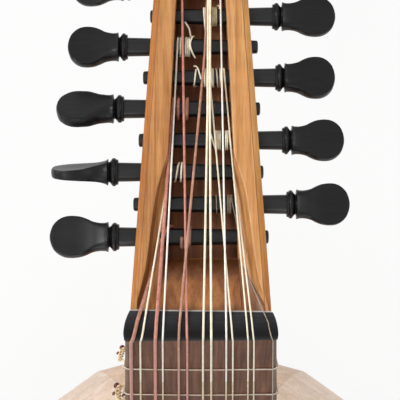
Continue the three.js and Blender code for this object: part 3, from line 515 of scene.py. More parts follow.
def cut(obj, cutters, sharp=32):
    """Takes the cutters out of obj, for good."""
    for cutter in cutters:
        modifier = obj.modifiers.new("cut", "BOOLEAN")
        modifier.operation = "DIFFERENCE"
        modifier.solver = "EXACT"
        modifier.object = cutter
    bpy.context.view_layer.update()
    done = bpy.data.meshes.new_from_object(obj.evaluated_get(bpy.context.evaluated_depsgraph_get()))
    obj.modifiers.clear()
    obj.data = done
    for cutter in cutters:
        bpy.data.objects.remove(cutter)
    smooth(done, sharp)


# Neck, fingerboard, nut


def neck_half(y):
    return mix(*NECK_WIDTH, y / NECK_LENGTH) / 2


def neck_deep(y):
    return mix(*NECK_DEPTH, y / NECK_LENGTH)


def neck_side(y, z=BOARD_EDGE):
    """Half width of the neck at a depth."""
    return neck_half(y) * sqrt(1 - (z / neck_deep(y)) ** 2)


def neck_ring(y, top, steps=48, lift=0.0):
    start = asin(-top / neck_deep(y))
    ring = []
    for t in spread(start, pi - start, steps):
        c, s = cos(t), sin(t)
        out = Vector((neck_deep(y) * c, 0, -neck_half(y) * s)).normalized()
        ring.append(Vector((neck_half(y) * c, y, -neck_deep(y) * s)) + out * lift)
    return ring


def block_ring(s, half, top, low):
    """The corners of a block's section across the pegbox."""
    return [in_pegbox(x, s, n) for x, n in ((-half, top), (half, top), (half, low), (-half, low))]


def make_neck():
    rings = [neck_ring(y, -BOARD_THICKNESS - 0.02) for y in spread(0, NECK_LENGTH - 0.2, 24)]
    neck = piece("neck_body", skin(rings), neck_wood, slot="neck", node="neck")
    under_nut = [block_ring(s, 45, -0.15 - PEGBOX_DEPTH, 60) for s in (-0.15, PEGBOX_LENGTH)]
    cut(neck, [piece("housing", skin(under_nut), neck_wood, body=None)])
    bevel(neck, 0.25, 1, 50)


def board_top(y, x):
    """Height of the fingerboard's slightly rounded top."""
    half = neck_side(y)
    edge = clamp((abs(x) - (half - 2.2)) / 2.2)
    return -0.55 * clamp(abs(x) / half) ** 2 - 0.9 * edge**2.4


def make_fingerboard():
    across = 40
    rings = []
    for y in spread(0.1, NECK_LENGTH - 0.15, 24):
        low = neck_side(y, -BOARD_THICKNESS)
        xs = [sin(t * pi / 2) * neck_side(y) for t in spread(-1, 1, across)]
        ring = [Vector((low, y, -BOARD_THICKNESS)), Vector((-low, y, -BOARD_THICKNESS))]
        rings.append(ring + [Vector((x, y, board_top(y, x))) for x in xs])
    count = len(rings[0])
    sides = (1, 2, 3, 4, 5, count - 5, count - 4, count - 3, count - 2, count - 1)
    piece("fingerboard_plate", skin(rings), board_wood, board_edge_wood, slot="fingerboard",
          node="fingerboard", look_of=lambda f: f < (len(rings) - 1) * count and f % count in sides)


# The nut's top, as places back from the fingerboard, down from the crown, and run over by a string
NUT_TOP = [(0.12, -0.1, 0.0), (0.4, 0.0, 0.0), (2.4, 0.0, 2.0), (3.1, -0.15, 2.8), (3.75, -0.6, 3.6),
           (4.35, -1.6, 4.8), (4.8, -3.0, 6.2), (5.12, -5.0, 8.2), (5.28, -6.6, 9.8)]


def nut_crown(x):
    """How high the nut stands over the fingerboard, less towards the treble."""
    return mix(*NUT_CROWN, clamp((x / NUT_HALF + 1) / 2))


def nut_drop(x, run):
    """How far the nut's top is worked down, at its ends and in the notch of a string."""
    edge = clamp((NUT_HALF - abs(x)) / 0.8)
    deep = 0.5 * (1 - edge) ** 2
    for string in STRINGS:
        off = abs(x - string.run_over(run))
        radius = string.radius + 0.05
        if off < radius and run < 5:
            deep = max(deep, sqrt(radius**2 - off**2) * 0.8 * (1 - run / 6))
    return deep


def line_start(x):
    """Where the pale line under the nut starts along the pegbox: it's laid a little askew."""
    return LINE_START + LINE_LEAN * x


def make_nut():
    rings = []
    for t in spread(-1, 1, 280):
        x = t * NUT_HALF
        crown = nut_crown(x)
        shoulder = crown - NUT_SHOULDER
        foot = PEGBOX_START - NUT_FACE - line_start(t * 29) / sin(BEND)
        front_foot = foot - (NUT_THICKNESS - SEAM) / tan(BEND)
        profile = [(NUT_THICKNESS, z) for z in (foot, mix(foot, shoulder, 0.5), shoulder)]
        profile += [(back, crown + rise - nut_drop(x, run)) for back, rise, run in reversed(NUT_TOP)]
        profile += [(SEAM, min(crown - 0.3 - nut_drop(x, 0), 0.2))]
        profile += [(SEAM, z) for z in spread(BOARD_EDGE, front_foot, 4)[1:]]
        ring = []
        for back, z in profile:
            side = NUT_HALF * sqrt(1 - (min(z, 0) / (NECK_DEPTH[0] + 2)) ** 2)
            ring.append(Vector((t * (side - 0.35 * clamp(z / 1.3 + 0.4)), -back, z)))
        rings.append(ring)
    piece("nut_block", skin(rings), nut_wood, slot="ebony", node="nut", sharp=40)
    rings = []
    for x in spread(-LINE_HALF, LINE_HALF, 12):
        near, far = line_start(x), line_start(x) + LINE_WIDE
        rings.append([in_pegbox(x, s, n) for s, n in ((near, -24), (far, -24), (far, 0.1), (near, 0.1))])
    piece("nut_line", skin(rings), line_wood)


# Pegbox

# Places along the pegbox, with where the hollowed rim begins across it, and how deep its hollow is
RIM_INNER = [(-1, 27.2), (1.5, 26.8), (8.2, 25.1), (13.2, 23.9), (18.3, 22.9), (28, 21.7), (38.8, 20.4),
             (49.2, 18.9), (54.4, 17.7), (59.7, 16.1), (64.9, 14.6), (68, 14.05), (72, 13.85)]
SCOOP_DEEP = [(-1, 2.3), (3, 3.6), (8, 4.9), (14, 5.7), (20, 6.0), (39, 6.0), (52, 5.2), (60, 3.8), (66, 2.0),
              (72, 0.5)]
SCOOP_END = 72
FLOOR_DEEP = [(0, 2.2), (5, 3.4), (10, 5.0), (16, 7.6), (22, 12.0), (24.2, 14.2)]
FLOOR_END = 24.2


def outer_half(s):
    return PEGBOX_HALF - PEGBOX_TAPER * s


def channel_half(s):
    return CHANNEL_HALF - CHANNEL_TAPER * s


def box_depth(s):
    return PEGBOX_DEPTH - DEPTH_TAPER * s


def cheek_section(s):
    """Half a section through the pegbox as (x, n), anticlockwise from the outer foot."""
    outer, inner = outer_half(s), channel_half(s) + SEAM
    arris = outer - CHAMFER
    rim, deep = inner + 0.25, 0.25
    if s < SCOOP_END:
        rim, deep = table(RIM_INNER, s), table(SCOOP_DEEP, s)
    foot = -box_depth(s) + BACK_THICKNESS + SEAM
    lip = min(0.4, deep * 0.6)
    points = [(outer, foot), (outer, -12), (outer, -1.7), (outer - 0.15, -1.3), (arris + 0.3, -0.1),
              (arris, 0), (arris - 0.35, 0), (mix(arris - 0.35, rim + 0.9, 0.5), 0), (rim + 0.9, 0),
              (rim + 0.6, -0.1 * lip), (rim + 0.35, -0.3 * lip), (rim + 0.14, -0.62 * lip)]
    for t in spread(0, pi / 2, 14):
        points.append((mix(inner, rim, cos(t)), -lip - (deep - lip) * sin(t) ** 1.25))
    return points + [(inner, mix(-deep, foot, 0.5)), (inner, foot)]


def peg_place(number):
    return FIRST_PEG + (number - 1) * PEG_SPACING


def peg_side(number):
    """1 for a peg with its head on the bass side, -1 for one on the treble side."""
    return 1 if number % 2 else -1


def peg_ends(number):
    """Where a peg's thin end and its head's ring lie, out towards its head from the middle."""
    half = outer_half(peg_place(number))
    _, _, bare, poke, _, _ = PEG_SHAPES[number - 1]
    return -half - poke, half + bare


def shaft_radius(number, x):
    """Radius of a peg's shaft at a place across the pegbox."""
    thin, thick = peg_ends(number)
    return mix(*PEG_RADII, (x * peg_side(number) - thin) / (thick - thin))


def round_peg(number, x, radius, sides=32):
    """A circle round a peg's axis."""
    s = peg_place(number)
    return [in_pegbox(x, s + radius * cos(t), -PEG_DEPTH + radius * sin(t)) for t in around(sides)]


def make_cheek(side, name, node, plain, arris, scoop, shaded):
    """shaded gives the strips of a section that lie in the hollow's shade."""
    first = [in_pegbox(side * x, line_start(side * x) + LINE_WIDE + PEGBOX_START, n)
             for x, n in cheek_section(PEGBOX_START)]
    rings = [first]
    s = PEGBOX_START + 1.5
    while s < CHEEK_END:
        rings.append([in_pegbox(side * x, s, n) for x, n in cheek_section(s)])
        s += 1.5 if s < 76 else 4.5
    rings.append([in_pegbox(side * x, CHEEK_END, n) for x, n in cheek_section(CHEEK_END)])
    count = len(first)
    looks = {1: 1, 2: 1, 3: 1, 4: 1, 5: 2, **{i: 3 for i in shaded}}
    cheek = piece(name, skin(rings), plain, arris, groove_wood, scoop, slot="pegbox", node=node, sharp=28,
                  look_of=lambda f: looks.get(f % count, 0) if f < (len(rings) - 1) * count else 0)
    holes = []
    for number in range(1, PEGS + 1):
        s = peg_place(number)
        walls = (side * (channel_half(s) - 6), side * (outer_half(s) + 6))
        circles = [round_peg(number, x, shaft_radius(number, x) + PEG_PLAY) for x in walls]
        holes.append(piece("hole", skin(circles), dark_wood, body=None))
    cut(cheek, holes, 28)


def make_pegbox():
    make_cheek(1, "cheek_bass", "pegbox_cheek_bass", cheek_wood, arris_wood, shade_wood, range(12, 18))
    make_cheek(-1, "cheek_treble", "pegbox_cheek_treble", light_cheek_wood, light_arris_wood, scoop_wood,
               range(8, 28))
    rings = [block_ring(s, outer_half(s), BACK_THICKNESS - box_depth(s), -box_depth(s))
             for s in (PEGBOX_START, CHEEK_END)]
    bevel(piece("back_plate", skin(rings), dark_wood, slot="pegbox_back", node="pegbox_back"), 0.4)
    rings = [block_ring(s, outer_half(s), 0, -box_depth(s)) for s in (CHEEK_END + 0.35, PEGBOX_LENGTH)]
    bevel(piece("end_block", skin(rings), cheek_wood, slot="pegbox", node="pegbox_end"), 0.9, 3)


def make_root_floor():
    rings = []
    for s in spread(PEGBOX_START, FLOOR_END, 12):
        half, low = channel_half(s) - PEGBOX_START, -box_depth(s) + BACK_THICKNESS + SEAM
        ring = []
        for t in spread(-1, 1, 12):
            along = line_start(t * half) + LINE_WIDE + PEGBOX_START if s == PEGBOX_START else s
            ring.append(in_pegbox(t * half, along, -table(FLOOR_DEEP, s) - 0.4 * (1 - t * t)))
        rings.append(ring + [in_pegbox(half, s, low), in_pegbox(-half, s, low)])
    piece("root_floor", skin(rings), floor_wood, slot="pegbox_inside", node="pegbox_root_block")


# Pegs

# Out along a head from its ring: the turned radius and half the thickness between its faces
HEAD = [
    (0.0, 5.0, 9.0), (0.12, 5.4, 9.0), (0.8, 5.5, 9.0), (1.0, 5.8, 9.0), (1.35, 6.05, 9.0), (1.8, 6.1, 9.0),
    (2.3, 6.0, 9.0), (2.6, 5.6, 9.0), (3.2, 4.7, 9.0), (3.65, 4.3, 9.0), (4.0, 4.5, 9.0), (4.1, 5.6, 6.6),
    (4.25, 6.45, 5.7), (4.7, 6.25, 5.15), (5.5, 6.0, 4.6), (7.7, 5.9, 3.85), (10.3, 6.45, 3.3),
    (12.5, 7.5, 2.88), (14.6, 8.3, 2.58), (16.8, 8.7, 2.36), (18.9, 8.8, 2.22), (21.1, 8.5, 2.08),
    (23.2, 7.5, 1.98), (24.9, 6.0, 1.95), (25.8, 4.7, 1.95), (26.45, 3.1, 1.9), (26.85, 1.6, 1.5),
    (27.0, 0.4, 0.4),
]
HEAD_LENGTH = 27
BLADE_START = 4.1
# Each peg is cut by hand: its turn, its head's length, the bare shaft by its head, its thin end, and
# how wide and how thick its head is against the usual one
PEG_SHAPES = [
    (4, 29.6, 7.5, 1.65, 1.03, 1), (8, 27.1, 10.3, 2.55, 1.03, 1), (65, 28.9, 10.06, 1.5, 1, 1),
    (0, 26.9, 10.6, 2.35, 1.035, 1), (32, 29.6, 9.7, 2.15, 1.1, 1.16), (-6, 26.2, 9.8, 2.5, 1.075, 1),
    (8, 26.5, 10.2, 3.2, 1.06, 1), (5, 28.0, 10.55, 1.4, 1.02, 1), (-10, 27.5, 10.1, 1.9, 1, 1),
    (12, 27.2, 10.0, 2.2, 1, 1), (20, 27.8, 10.2, 1.75, 1, 1), (-5, 26.9, 10.1, 2.1, 1, 1),
    (6, 27.5, 10.0, 1.9, 1, 1),
]


def head_rows():
    """The head's rows, with more between them on a smooth curve."""
    radii = [(out, radius) for out, radius, _ in HEAD]
    flats = [(out, flat) for out, _, flat in HEAD]
    outs = [HEAD[0][0]]
    for (a, _), (b, _) in zip(radii, radii[1:]):
        steps = max(1, round((b - a) / 0.45))
        outs += [mix(a, b, k / steps) for k in range(1, steps)] + [b]
    return [(out, table(radii, out), table(flats, out)) for out in outs]


def make_peg(number):
    side, s = peg_side(number), peg_place(number)
    turned, length, _, _, girth, stout = PEG_SHAPES[number - 1]
    thin, ring_at = peg_ends(number)
    flat = HEAD[0][2]
    rows = [(thin + at, radius, flat) for at, radius in ((-0.03, 0.6), (0, 2.0), (0.15, 2.5), (0.5, 2.85))]
    shaft = spread(thin + 0.5, ring_at - 0.05, 20)[1:]
    rows += [(x, shaft_radius(number, side * x), flat) for x in shaft]
    for out, radius, flat in head_rows():
        blade = clamp((out - BLADE_START) / 4)
        x = ring_at + out * length / HEAD_LENGTH
        rows.append((x, radius * mix(1, girth, blade), flat * mix(1, stout, blade)))
    cos_turn, sin_turn = cos(radians(turned)), sin(radians(turned))
    sides = 48
    rings = []
    for x, radius, flat in rows:
        ring = []
        for a in around(sides):
            wide, tall = radius * cos(a), radius * sin(a)
            tall /= (1 + (abs(tall) / min(flat, radius * 3)) ** 10) ** 0.1
            across, above = wide * cos_turn - tall * sin_turn, wide * sin_turn + tall * cos_turn
            ring.append(in_pegbox(side * x, s - side * across, -PEG_DEPTH + above))
        rings.append(ring)
    shaft_faces = (4 + len(shaft)) * sides
    piece(f"tuning_peg_{number}", skin(rings), peg_wood, shaft_wood, body=f"peg_{number}", slot="ebony",
          node=f"peg_{number}", sharp=38, look_of=lambda f: f < shaft_faces)


# Strings

# How far a string has run over the nut where it leaves it, and from there to the pegbox's start
NUT_RUN, TO_PEGBOX = 8, 7
BRIDGE_SPREAD = 58 / 29.7
BRIDGE_HALF = 82
BRIDGE_WIDTH = (5, 15)
BRIDGE_HEIGHT = (2.5, 8.5)
STRINGS_OVER_TOP = 6.3


@dataclass(eq=False)
class String:
    """size is how thick a string is. nut and wind are places across where it leaves the nut and
    meets its peg, plus to the bass, and top is where it then crosses the peg's front. Each wrap is
    where a turn lies at the peg's near and far side. via is a place that the string is held at on
    the way, as (along, across). slide is how far it has turned towards its peg where it leaves the
    nut, against a straight line. wound_look is how it looks on the peg, if not as elsewhere."""

    name: str
    peg: int
    size: float
    nut: float
    wind: float
    top: float
    look: bpy.types.Material
    wraps: list
    via: tuple = None
    slide: float = 1
    wound_look: bpy.types.Material = None

    @property
    def radius(self):
        return self.size / 2

    def coil_radius(self, x):
        return shaft_radius(self.peg, x) + self.radius + 0.04

    def run_over(self, run):
        """Where across it lies once it has run so far over the nut, on its way to its peg."""
        s, x = self.via or (peg_place(self.peg) - 4, self.wind)
        return mix(self.nut, x, run / (NUT_RUN + TO_PEGBOX + s) * self.slide)

    def nut_edge(self):
        """Where it leaves the nut's back, lower for a near peg."""
        share = (self.peg - 1) / (PEGS - 1)
        back, rise = mix(5.22, 5.04, share), mix(-6.0, -4.4, share)
        return Vector((self.run_over(NUT_RUN), -back - self.radius * 0.95,
                       nut_crown(self.nut) + rise + self.radius * 0.15))

    def touch(self):
        """Where it leaves the nut and where it meets its peg, as (s, n), and the angle there."""
        from_s, from_n = to_pegbox(self.nut_edge())
        s = peg_place(self.peg)
        coil = self.coil_radius(self.wind)
        ds, dn = from_s - s, from_n + PEG_DEPTH
        angle = atan2(dn, ds) - acos(coil / hypot(ds, dn))
        place = s + coil * cos(angle), -PEG_DEPTH + coil * sin(angle)
        return (from_s, from_n), place, angle

    def straight_at(self, s):
        """Where across and how high its straight stretch lies at a place along the pegbox."""
        (s0, n0), (s1, n1), _ = self.touch()
        height = mix(n0, n1, (s - s0) / (s1 - s0))
        at, x = self.via or (s1, self.wind)
        if s <= at:
            return mix(self.run_over(NUT_RUN), x, (s - s0) / (at - s0)), height
        return mix(x, self.wind, (s - at) / (s1 - at)), height


STRINGS = [
    String("7_bass", 1, 1.6, 28.7, 15.3, 12.6, copper, [(5.0, 4.6)], wound_look=dusty),
    String("7_octave", 3, 0.85, 24.9, 13.4, 13.0, cream, [(11.1, 9.0), (8.6, 8.0)], (30, 17.9), 1.35),
    String("6_bass", 5, 1.5, 18.8, 12.1, 11.9, rose, [(10.0, 9.8), (6.1, 5.8)], wound_look=copper),
    String("6_octave", 7, 0.8, 15.7, 10.2, 10.0, white,
           [(9.0, 8.9), (6.7, 6.5), (5.85, 5.75), (5.0, 5.0)], wound_look=cream),
    String("5_lower", 9, 1.1, 9.1, -3.2, -3.0, tawny, [(-1.7, -1.6), (-0.4, -0.3)], (113, -1.75), 0.45),
    String("5_upper", 11, 1.05, 5.6, 8.9, 8.6, rose, [(7.4, 7.2), (6.2, 6.0), (4.6, 4.4)]),
    String("4_lower", 12, 0.95, -0.9, -3.55, -3.4, cream, [(-2.6, -2.4), (-1.4, -1.2)], (85, -2.85)),
    String("4_upper", 13, 1.0, -4.3, -4.5, -4.35, cream, [(-3.2, -3.0), (-2.1, -1.9)], (85, -3.85)),
    String("3_lower", 10, 0.8, -10.5, -8.4, -8.2, white, [(-7.2, -7.0), (-6.2, -6.0), (-5.0, -4.8)]),
    String("3_upper", 8, 0.75, -13.2, -1.35, -1.25, cream,
           [(-2.0, -2.0), (-2.75, -2.7), (-3.8, -3.8), (-5.35, -5.3), (-6.1, -6.05), (-6.85, -6.8)],
           wound_look=olive),
    String("2_lower", 6, 0.7, -19.5, -10.3, -10.0, cream,
           [(-9.45, -9.3), (-8.6, -8.4), (-7.5, -6.5), (-5.4, -5.3), (-4.7, -4.6), (-3.9, -3.8), (-3.2, -3.1),
            (-2.45, -2.4), (-1.7, -1.6), (3.0, 1.75)]),
    String("2_upper", 4, 0.7, -21.9, -12.3, -12.1, cream,
           [(-11.5, -11.4), (-10.8, -10.75), (-8.4, -8.35), (-7.7, -7.65), (-7.0, -7.0), (-6.4, -6.4)]),
    String("1", 2, 0.45, -29.7, -13.2, -13.2, straw,
           [(-12.7, -12.6), (-12.1, -12.0), (-11.5, -11.4), (-6.8, -6.5)], (13.3, -19.9), 0.75),
]
BY_NAME = {string.name: string for string in STRINGS}
# Pairs of strings that cross in the pegbox, the first over the second
CROSSINGS = [(BY_NAME[upper], BY_NAME[lower]) for upper, lower in (
    ("7_octave", "7_bass"), ("5_lower", "5_upper"), ("3_lower", "3_upper"))]

# Loose ends, as (across, along the pegbox from the peg, height over the peg's axis)
ENDS = {
    "7_bass": [[(7.95, -1.2, 4.5), (8.0, -2.2, 4.6), (8.05, -3.6, 3.7), (8.1, -5.0, 2.4)]],
    "6_octave": [
        [(3.1, 4.6, 1.0), (3.7, 3.6, 2.9), (4.35, 1.6, 4.1), (4.7, -0.6, 4.5), (4.2, -2.6, 4.0),
         (3.2, -4.4, 2.2), (2.5, -5.4, 1.2)],
        [(4.4, 4.2, 1.6), (4.6, 5.0, 1.8), (5.15, 7.6, 2.4), (6.2, 9.3, 3.2), (7.05, 10.3, 3.8)],
    ],
    "2_lower": [
        [(-0.1, -2.0, 4.2), (0.5, 0.2, 4.6), (1.2, 2.6, 4.3), (1.75, 4.0, 3.0), (2.3, 4.7, 2.0),
         (3.0, 4.9, 1.4)],
    ],
    "2_upper": [
        [(-6.3, -4.4, 1.0), (-5.9, -3.6, 2.8), (-5.3, -1.8, 4.0), (-4.6, 0.6, 4.3), (-4.3, 2.0, 3.6)],
    ],
    "3_upper": [
        [(-7.3, 4.2, 2.4), (-7.8, 3.9, 3.4), (-8.2, 3.4, 3.9), (-8.4, 2.7, 4.0), (-8.2, 2.3, 3.7)],
    ],
}


def crossing(upper, lower):
    """Where along the pegbox two strings cross, and how far each gives way there."""
    near, far = -11, min(upper.touch()[1][0], lower.touch()[1][0])
    gap_near, gap_far = (upper.straight_at(s)[0] - lower.straight_at(s)[0] for s in (near, far))
    at = near + (far - near) * gap_near / (gap_near - gap_far)
    room = upper.straight_at(at)[1] - lower.straight_at(at)[1]
    return at, max(0.0, upper.radius + lower.radius + 0.06 - room) / 2


def pressed_places(string):
    """Places in the pegbox where another string or a winding holds this one up or down."""
    places = []
    for upper, lower in CROSSINGS:
        if string in (upper, lower):
            at, lack = crossing(upper, lower)
            x, n = string.straight_at(at)
            places.append((at, x, n + (lack if string is upper else -lack)))
    for other in STRINGS:
        if other.peg < string.peg:
            at = peg_place(other.peg)
            x, n = string.straight_at(at)
            wound = [other.wind, other.top] + [across for wrap in other.wraps for across in wrap]
            both = other.radius + string.radius
            top = -PEG_DEPTH + other.coil_radius(x) + both + 0.05
            if min(wound) - both - 0.1 < x < max(wound) + both + 0.1 and n < top:
                places.append((at, x, top))
    if string.via:
        places.append((*string.via, string.straight_at(string.via[0])[1]))
    return sorted(places)


def coil_path(string, touch, start, end, steps=24):
    """The string's way round its peg between two numbers of turns from where it first touches."""
    places = [(0.0, string.wind), (0.25, string.top)]
    for k, (near, far) in enumerate(string.wraps):
        places += [(k + 0.75, near), (k + 1.25, far)]
    s = peg_place(string.peg)
    path = []
    for k in range(round(start * steps), round(end * steps) + 1):
        t = k / steps
        i = max(j for j, place in enumerate(places) if place[0] <= t + 1e-6)
        (ta, xa), (tb, xb) = places[i], places[min(i + 1, len(places) - 1)]
        x = xa if tb == ta else mix(xa, xb, clamp((t - ta) / (tb - ta)))
        a = mix(touch, pi / 2, clamp(t / 0.25)) - t * tau
        coil = string.coil_radius(x)
        path.append(in_pegbox(x, s + coil * cos(a), -PEG_DEPTH + coil * sin(a)))
    return path


# A string over the nut: back, down from the crown, run, and its radius' share in back and up
OVER_NUT = [(0.2, 0.02, 0.0, 0.0, 0.3), (2.4, 0.0, 2.0, 0.0, 0.35), (3.2, -0.2, 2.9, 0.2, 0.45),
            (3.85, -0.7, 3.8, 0.45, 0.5), (4.42, -1.8, 5.0, 0.75, 0.45), (4.85, -3.2, 6.4, 0.9, 0.3)]


def make_string(string):
    r, sides = string.radius, 10
    slot = "gut_pale"
    if string.look == rose:
        slot = "gut_red"
    if string.look in (copper, tawny):
        slot = "gut_copper"
    bridge_x = string.nut * BRIDGE_SPREAD
    crown = nut_crown(string.nut)
    path = [Vector((bridge_x, STRING_LENGTH + 0.4, STRINGS_OVER_TOP))]
    for t in spread(0, 1, 40)[39:0:-3]:
        height = mix(crown + 0.4 * r, STRINGS_OVER_TOP, t)
        path.append(Vector((mix(string.nut, bridge_x, t), t * STRING_LENGTH, height)))
    over_board = (len(path) - 1) * sides
    path += [Vector((string.run_over(run), -back - out * r, crown + drop + up * r))
             for back, drop, run, out, up in OVER_NUT]
    path.append(string.nut_edge())
    path += [in_pegbox(x, at, n) for at, x, n in pressed_places(string)]
    touch = string.touch()[2]
    path += coil_path(string, touch, 0, 0.5)
    # Over the fingerboard a pale string gets the darker, creamier gut: painted shade
    board_look = board_shade if string.look in (white, cream) else string.look
    piece(f"string_{string.name}_span", tube(path, r, sides), string.look, board_look, slot=slot,
          node=f"string_{string.name}", sharp=60, look_of=lambda f: f < over_board)
    parts = [tube(coil_path(string, touch, 0.5, len(string.wraps) + 0.45), r)]
    s = peg_place(string.peg)
    for end in ENDS.get(string.name, []):
        places = [in_pegbox(x, s + along, -PEG_DEPTH + above) for x, along, above in end]
        parts.append(tube(smooth_path(places, 5), r))
    piece(f"string_{string.name}_winding", joined(parts), string.wound_look or string.look,
          body=f"peg_{string.peg}", slot=slot, sharp=60)


# Frets


def fret_place(number):
    return STRING_LENGTH * (1 - 2 ** (-number / 12))


def fret_loop(y, radius, lift):
    loop = neck_ring(y, -BOARD_THICKNESS, 40, radius + lift)
    half = neck_side(y)
    for t in spread(-pi / 2, pi / 2, 30):
        x = sin(t) * (half + 0.55 + lift)
        height = board_top(y, min(abs(x), half)) + radius + 0.03 + 0.4 * clamp(abs(x) / half) ** 6
        loop.append(Vector((x, y, height)))
    return loop


# Each fret's knot: its size, how far it stands off the neck, and its height
KNOTS = [(1.15, 1.4, -6.5), (1.45, 1.6, -0.6), (1.15, 0.6, -6.8), (1.0, 0.4, -7.6), (1.1, 0.6, -7.0),
         (0.95, 0.4, -7.9), (1.05, 0.5, -7.2), (0.95, 0.4, -7.7)]
# A burnt end's bead: places along it and how wide it is there
BEAD = [(-1.0, 0.1), (-0.92, 0.42), (-0.7, 0.72), (-0.35, 0.95), (0.05, 1.0), (0.45, 0.9), (0.75, 0.66),
        (0.95, 0.3), (1.0, 0.08)]
OVER_KNOT = [(-3.0, 0.2, 0.5), (-1.2, 1.1, -0.6), (0.8, 1.2, -0.7), (2.9, 0.4, 0.2)]


def make_fret(number):
    """Two strands of gut side by side round the neck, and their knot with its two burnt ends."""
    y = fret_place(number)
    share = (number - 1) / (FRETS - 1)
    radius = mix(*FRET_RADII, share)
    plain, knotted, burnt, dull, shaded = range(5)
    parts = []
    for look, off in ((plain, -0.33), (shaded, 0.33)):
        shift = Vector((0, off * mix(1, 0.7, share), 0))
        parts.append((look, tube([p + shift for p in fret_loop(y, radius, 0.2)], radius, closed=True)))
    size, stand, depth = KNOTS[number - 1]
    side = neck_side(y, depth)
    out = Vector((neck_deep(y) ** 2 * side, 0, neck_half(y) ** 2 * depth)).normalized()
    base = Vector((side, y, depth)) + out * (radius + 0.35 + stand)
    round_neck = Vector((out.z, 0, -out.x))

    def at_knot(along, away, forward=0.0):
        return base + (round_neck * along + out * away + Vector((0, forward, 0))) * size

    for along in (-2.6, 2.4):
        leg = [at_knot(along, -0.9 - stand / size), at_knot(along * 0.9, 0.3)]
        parts.append((knotted, tube(leg, 0.4 * size)))
    turns = [at_knot(along, 0.45 + 0.5 * sin(a), 0.75 * cos(a))
             for along, a in zip(spread(-2.8, 2.6, 60), spread(0, 5 * tau, 60))]
    parts.append((knotted, tube(turns, 0.42 * size)))
    parts.append((knotted, tube(smooth_path([at_knot(*place) for place in OVER_KNOT], 6), 0.45 * size)))
    for look, along, away, forward, bead in ((burnt, 2.5, 1.3, 0.0, 1.05), (dull, -0.4, 1.9, -0.6, 0.72)):
        line = [at_knot(along + 0.5 * bead * at, away + 0.6 * bead * at, forward) for at, _ in BEAD]
        parts.append((look, tube(line, [bead * width * size for _, width in BEAD], 14)))
    looks = [look for look, (_, faces) in parts for _ in faces]
    piece(f"tied_fret_{number}", joined(part for _, part in parts), fret_gut, knot_gut, burnt_gut, dull_gut,
          shaded_gut, body=f"fret_{number}", slot="gut_frets", node=f"fret_{number}", sharp=60,
          look_of=lambda f: looks[f])


# Body


def bulge(y, at_neck, at_widest):
    if y >= WIDEST:
        out = min((y - WIDEST) / (BODY_END - WIDEST), 1)
        return at_widest * sqrt(1 - out * out)
    rise = at_widest - at_neck
    radius = (TO_WIDEST**2 + rise**2) / (2 * rise)
    return at_widest - radius + sqrt(radius**2 - (WIDEST - y) ** 2)


def body_half(y):
    return bulge(y, NECK_WIDTH[1] / 2, BODY_HALF_WIDTH)


def bowl_point(y, turn):
    c, s = cos(turn), sin(turn)
    fill = (abs(c) ** FULLNESS + abs(s) ** FULLNESS) ** (-1 / FULLNESS)
    deep = bulge(y, NECK_DEPTH[1] + BOWL_TOP, BOWL_DEPTH + BOWL_TOP)
    return Vector((-body_half(y) * fill * c, y, BOWL_TOP - deep * fill * s))


def bowl_normal(y, turn):
    low = min(y, BODY_END - 0.6)
    along = bowl_point(low + 0.5, turn) - bowl_point(low, turn)
    across = bowl_point(y, turn + 0.001) - bowl_point(y, turn - 0.001)
    return along.cross(across).normalized()


def bowl_ring(y, turns, lift):
    ring = []
    for turn in turns:
        normal = bowl_normal(y, turn)
        if y == BODY_START:
            normal.y = 0
            normal.normalize()
        ring.append(bowl_point(y, turn) + normal * lift)
    return ring


def bowl_stations(tail_gap, count=30):
    out = [mix(BODY_START, WIDEST, (k / count) * (0.65 + 0.35 * (2 - k / count))) for k in range(count)]
    reach = BODY_END - WIDEST
    last = asin(1 - tail_gap / reach)
    return out + [WIDEST + reach * sin(last * k / 24) for k in range(25)]


def make_rib(number):
    turns = [(number - 1) / RIBS * pi, number / RIBS * pi]
    rings = []
    for y in bowl_stations(0.7):
        outer = bowl_ring(y, turns, 0)
        inner = bowl_ring(y, turns, -RIB_THICKNESS)
        joint = (outer[1] - outer[0]).normalized() * 0.06
        edge = [mix(outer[0] + joint, outer[1] - joint, t) for t in (0.0, 0.012, 0.25, 0.5, 0.75, 0.988, 1.0)]
        groove = [bowl_ring(y, [sum(turns) / 2], lift)[0] for lift in (0, -0.25)]
        for i in (0, -1):
            edge[i] += groove[1] - groove[0]
        rings.append(edge + [inner[1] - joint, inner[0] + joint])
    piece(f"bowl_rib_{number}", skin(rings), rib_wood if number % 2 else deep_rib_wood, slot="ribs",
          node=f"rib_{number}", sharp=30)


def make_clasp():
    """A thin strip round the tail that covers the ribs' ends, in facets as they are."""
    rows, count = 16, 37
    turns = spread(0, pi, count - 1)
    rings = []
    for k in range(rows + 1):
        y = BODY_END - mix(15, 0.7, (k / rows) ** 0.5)
        inner = []
        for turn in turns:
            facet = (turn / pi * RIBS) % 1
            start = (turn / pi * RIBS - facet) / RIBS * pi
            inner.append(mix(*bowl_ring(y, [start, min(start + pi / RIBS, pi)], 0.3), facet))
        if k == 0:
            rings.append(inner)
        rings.append([p + bowl_normal(y, turn) * 1.5 for p, turn in zip(inner, turns)])
    rings.append([Vector((p.x * 0.5, BODY_END + 1.8, mix(BOWL_TOP, p.z, 0.5))) for p in rings[-1]])
    starts = [r * count for r in range(len(rings))]
    faces = [(a, a + 1, a + 1 + count, a + count)
             for start in starts[:-1] for a in range(start, start + count - 1)]
    faces += [tuple(range(starts[-1], starts[-1] + count)), tuple(range(count)),
              tuple(starts + [a + count - 1 for a in reversed(starts)])]
    points = [p for ring in rings for p in ring]
    piece("tail_clasp", (points, faces), rib_wood, slot="ribs", node="end_clasp", sharp=30)


ROSE_AT = BODY_START + BODY_LENGTH * 0.395
ROSE_RADIUS = 49


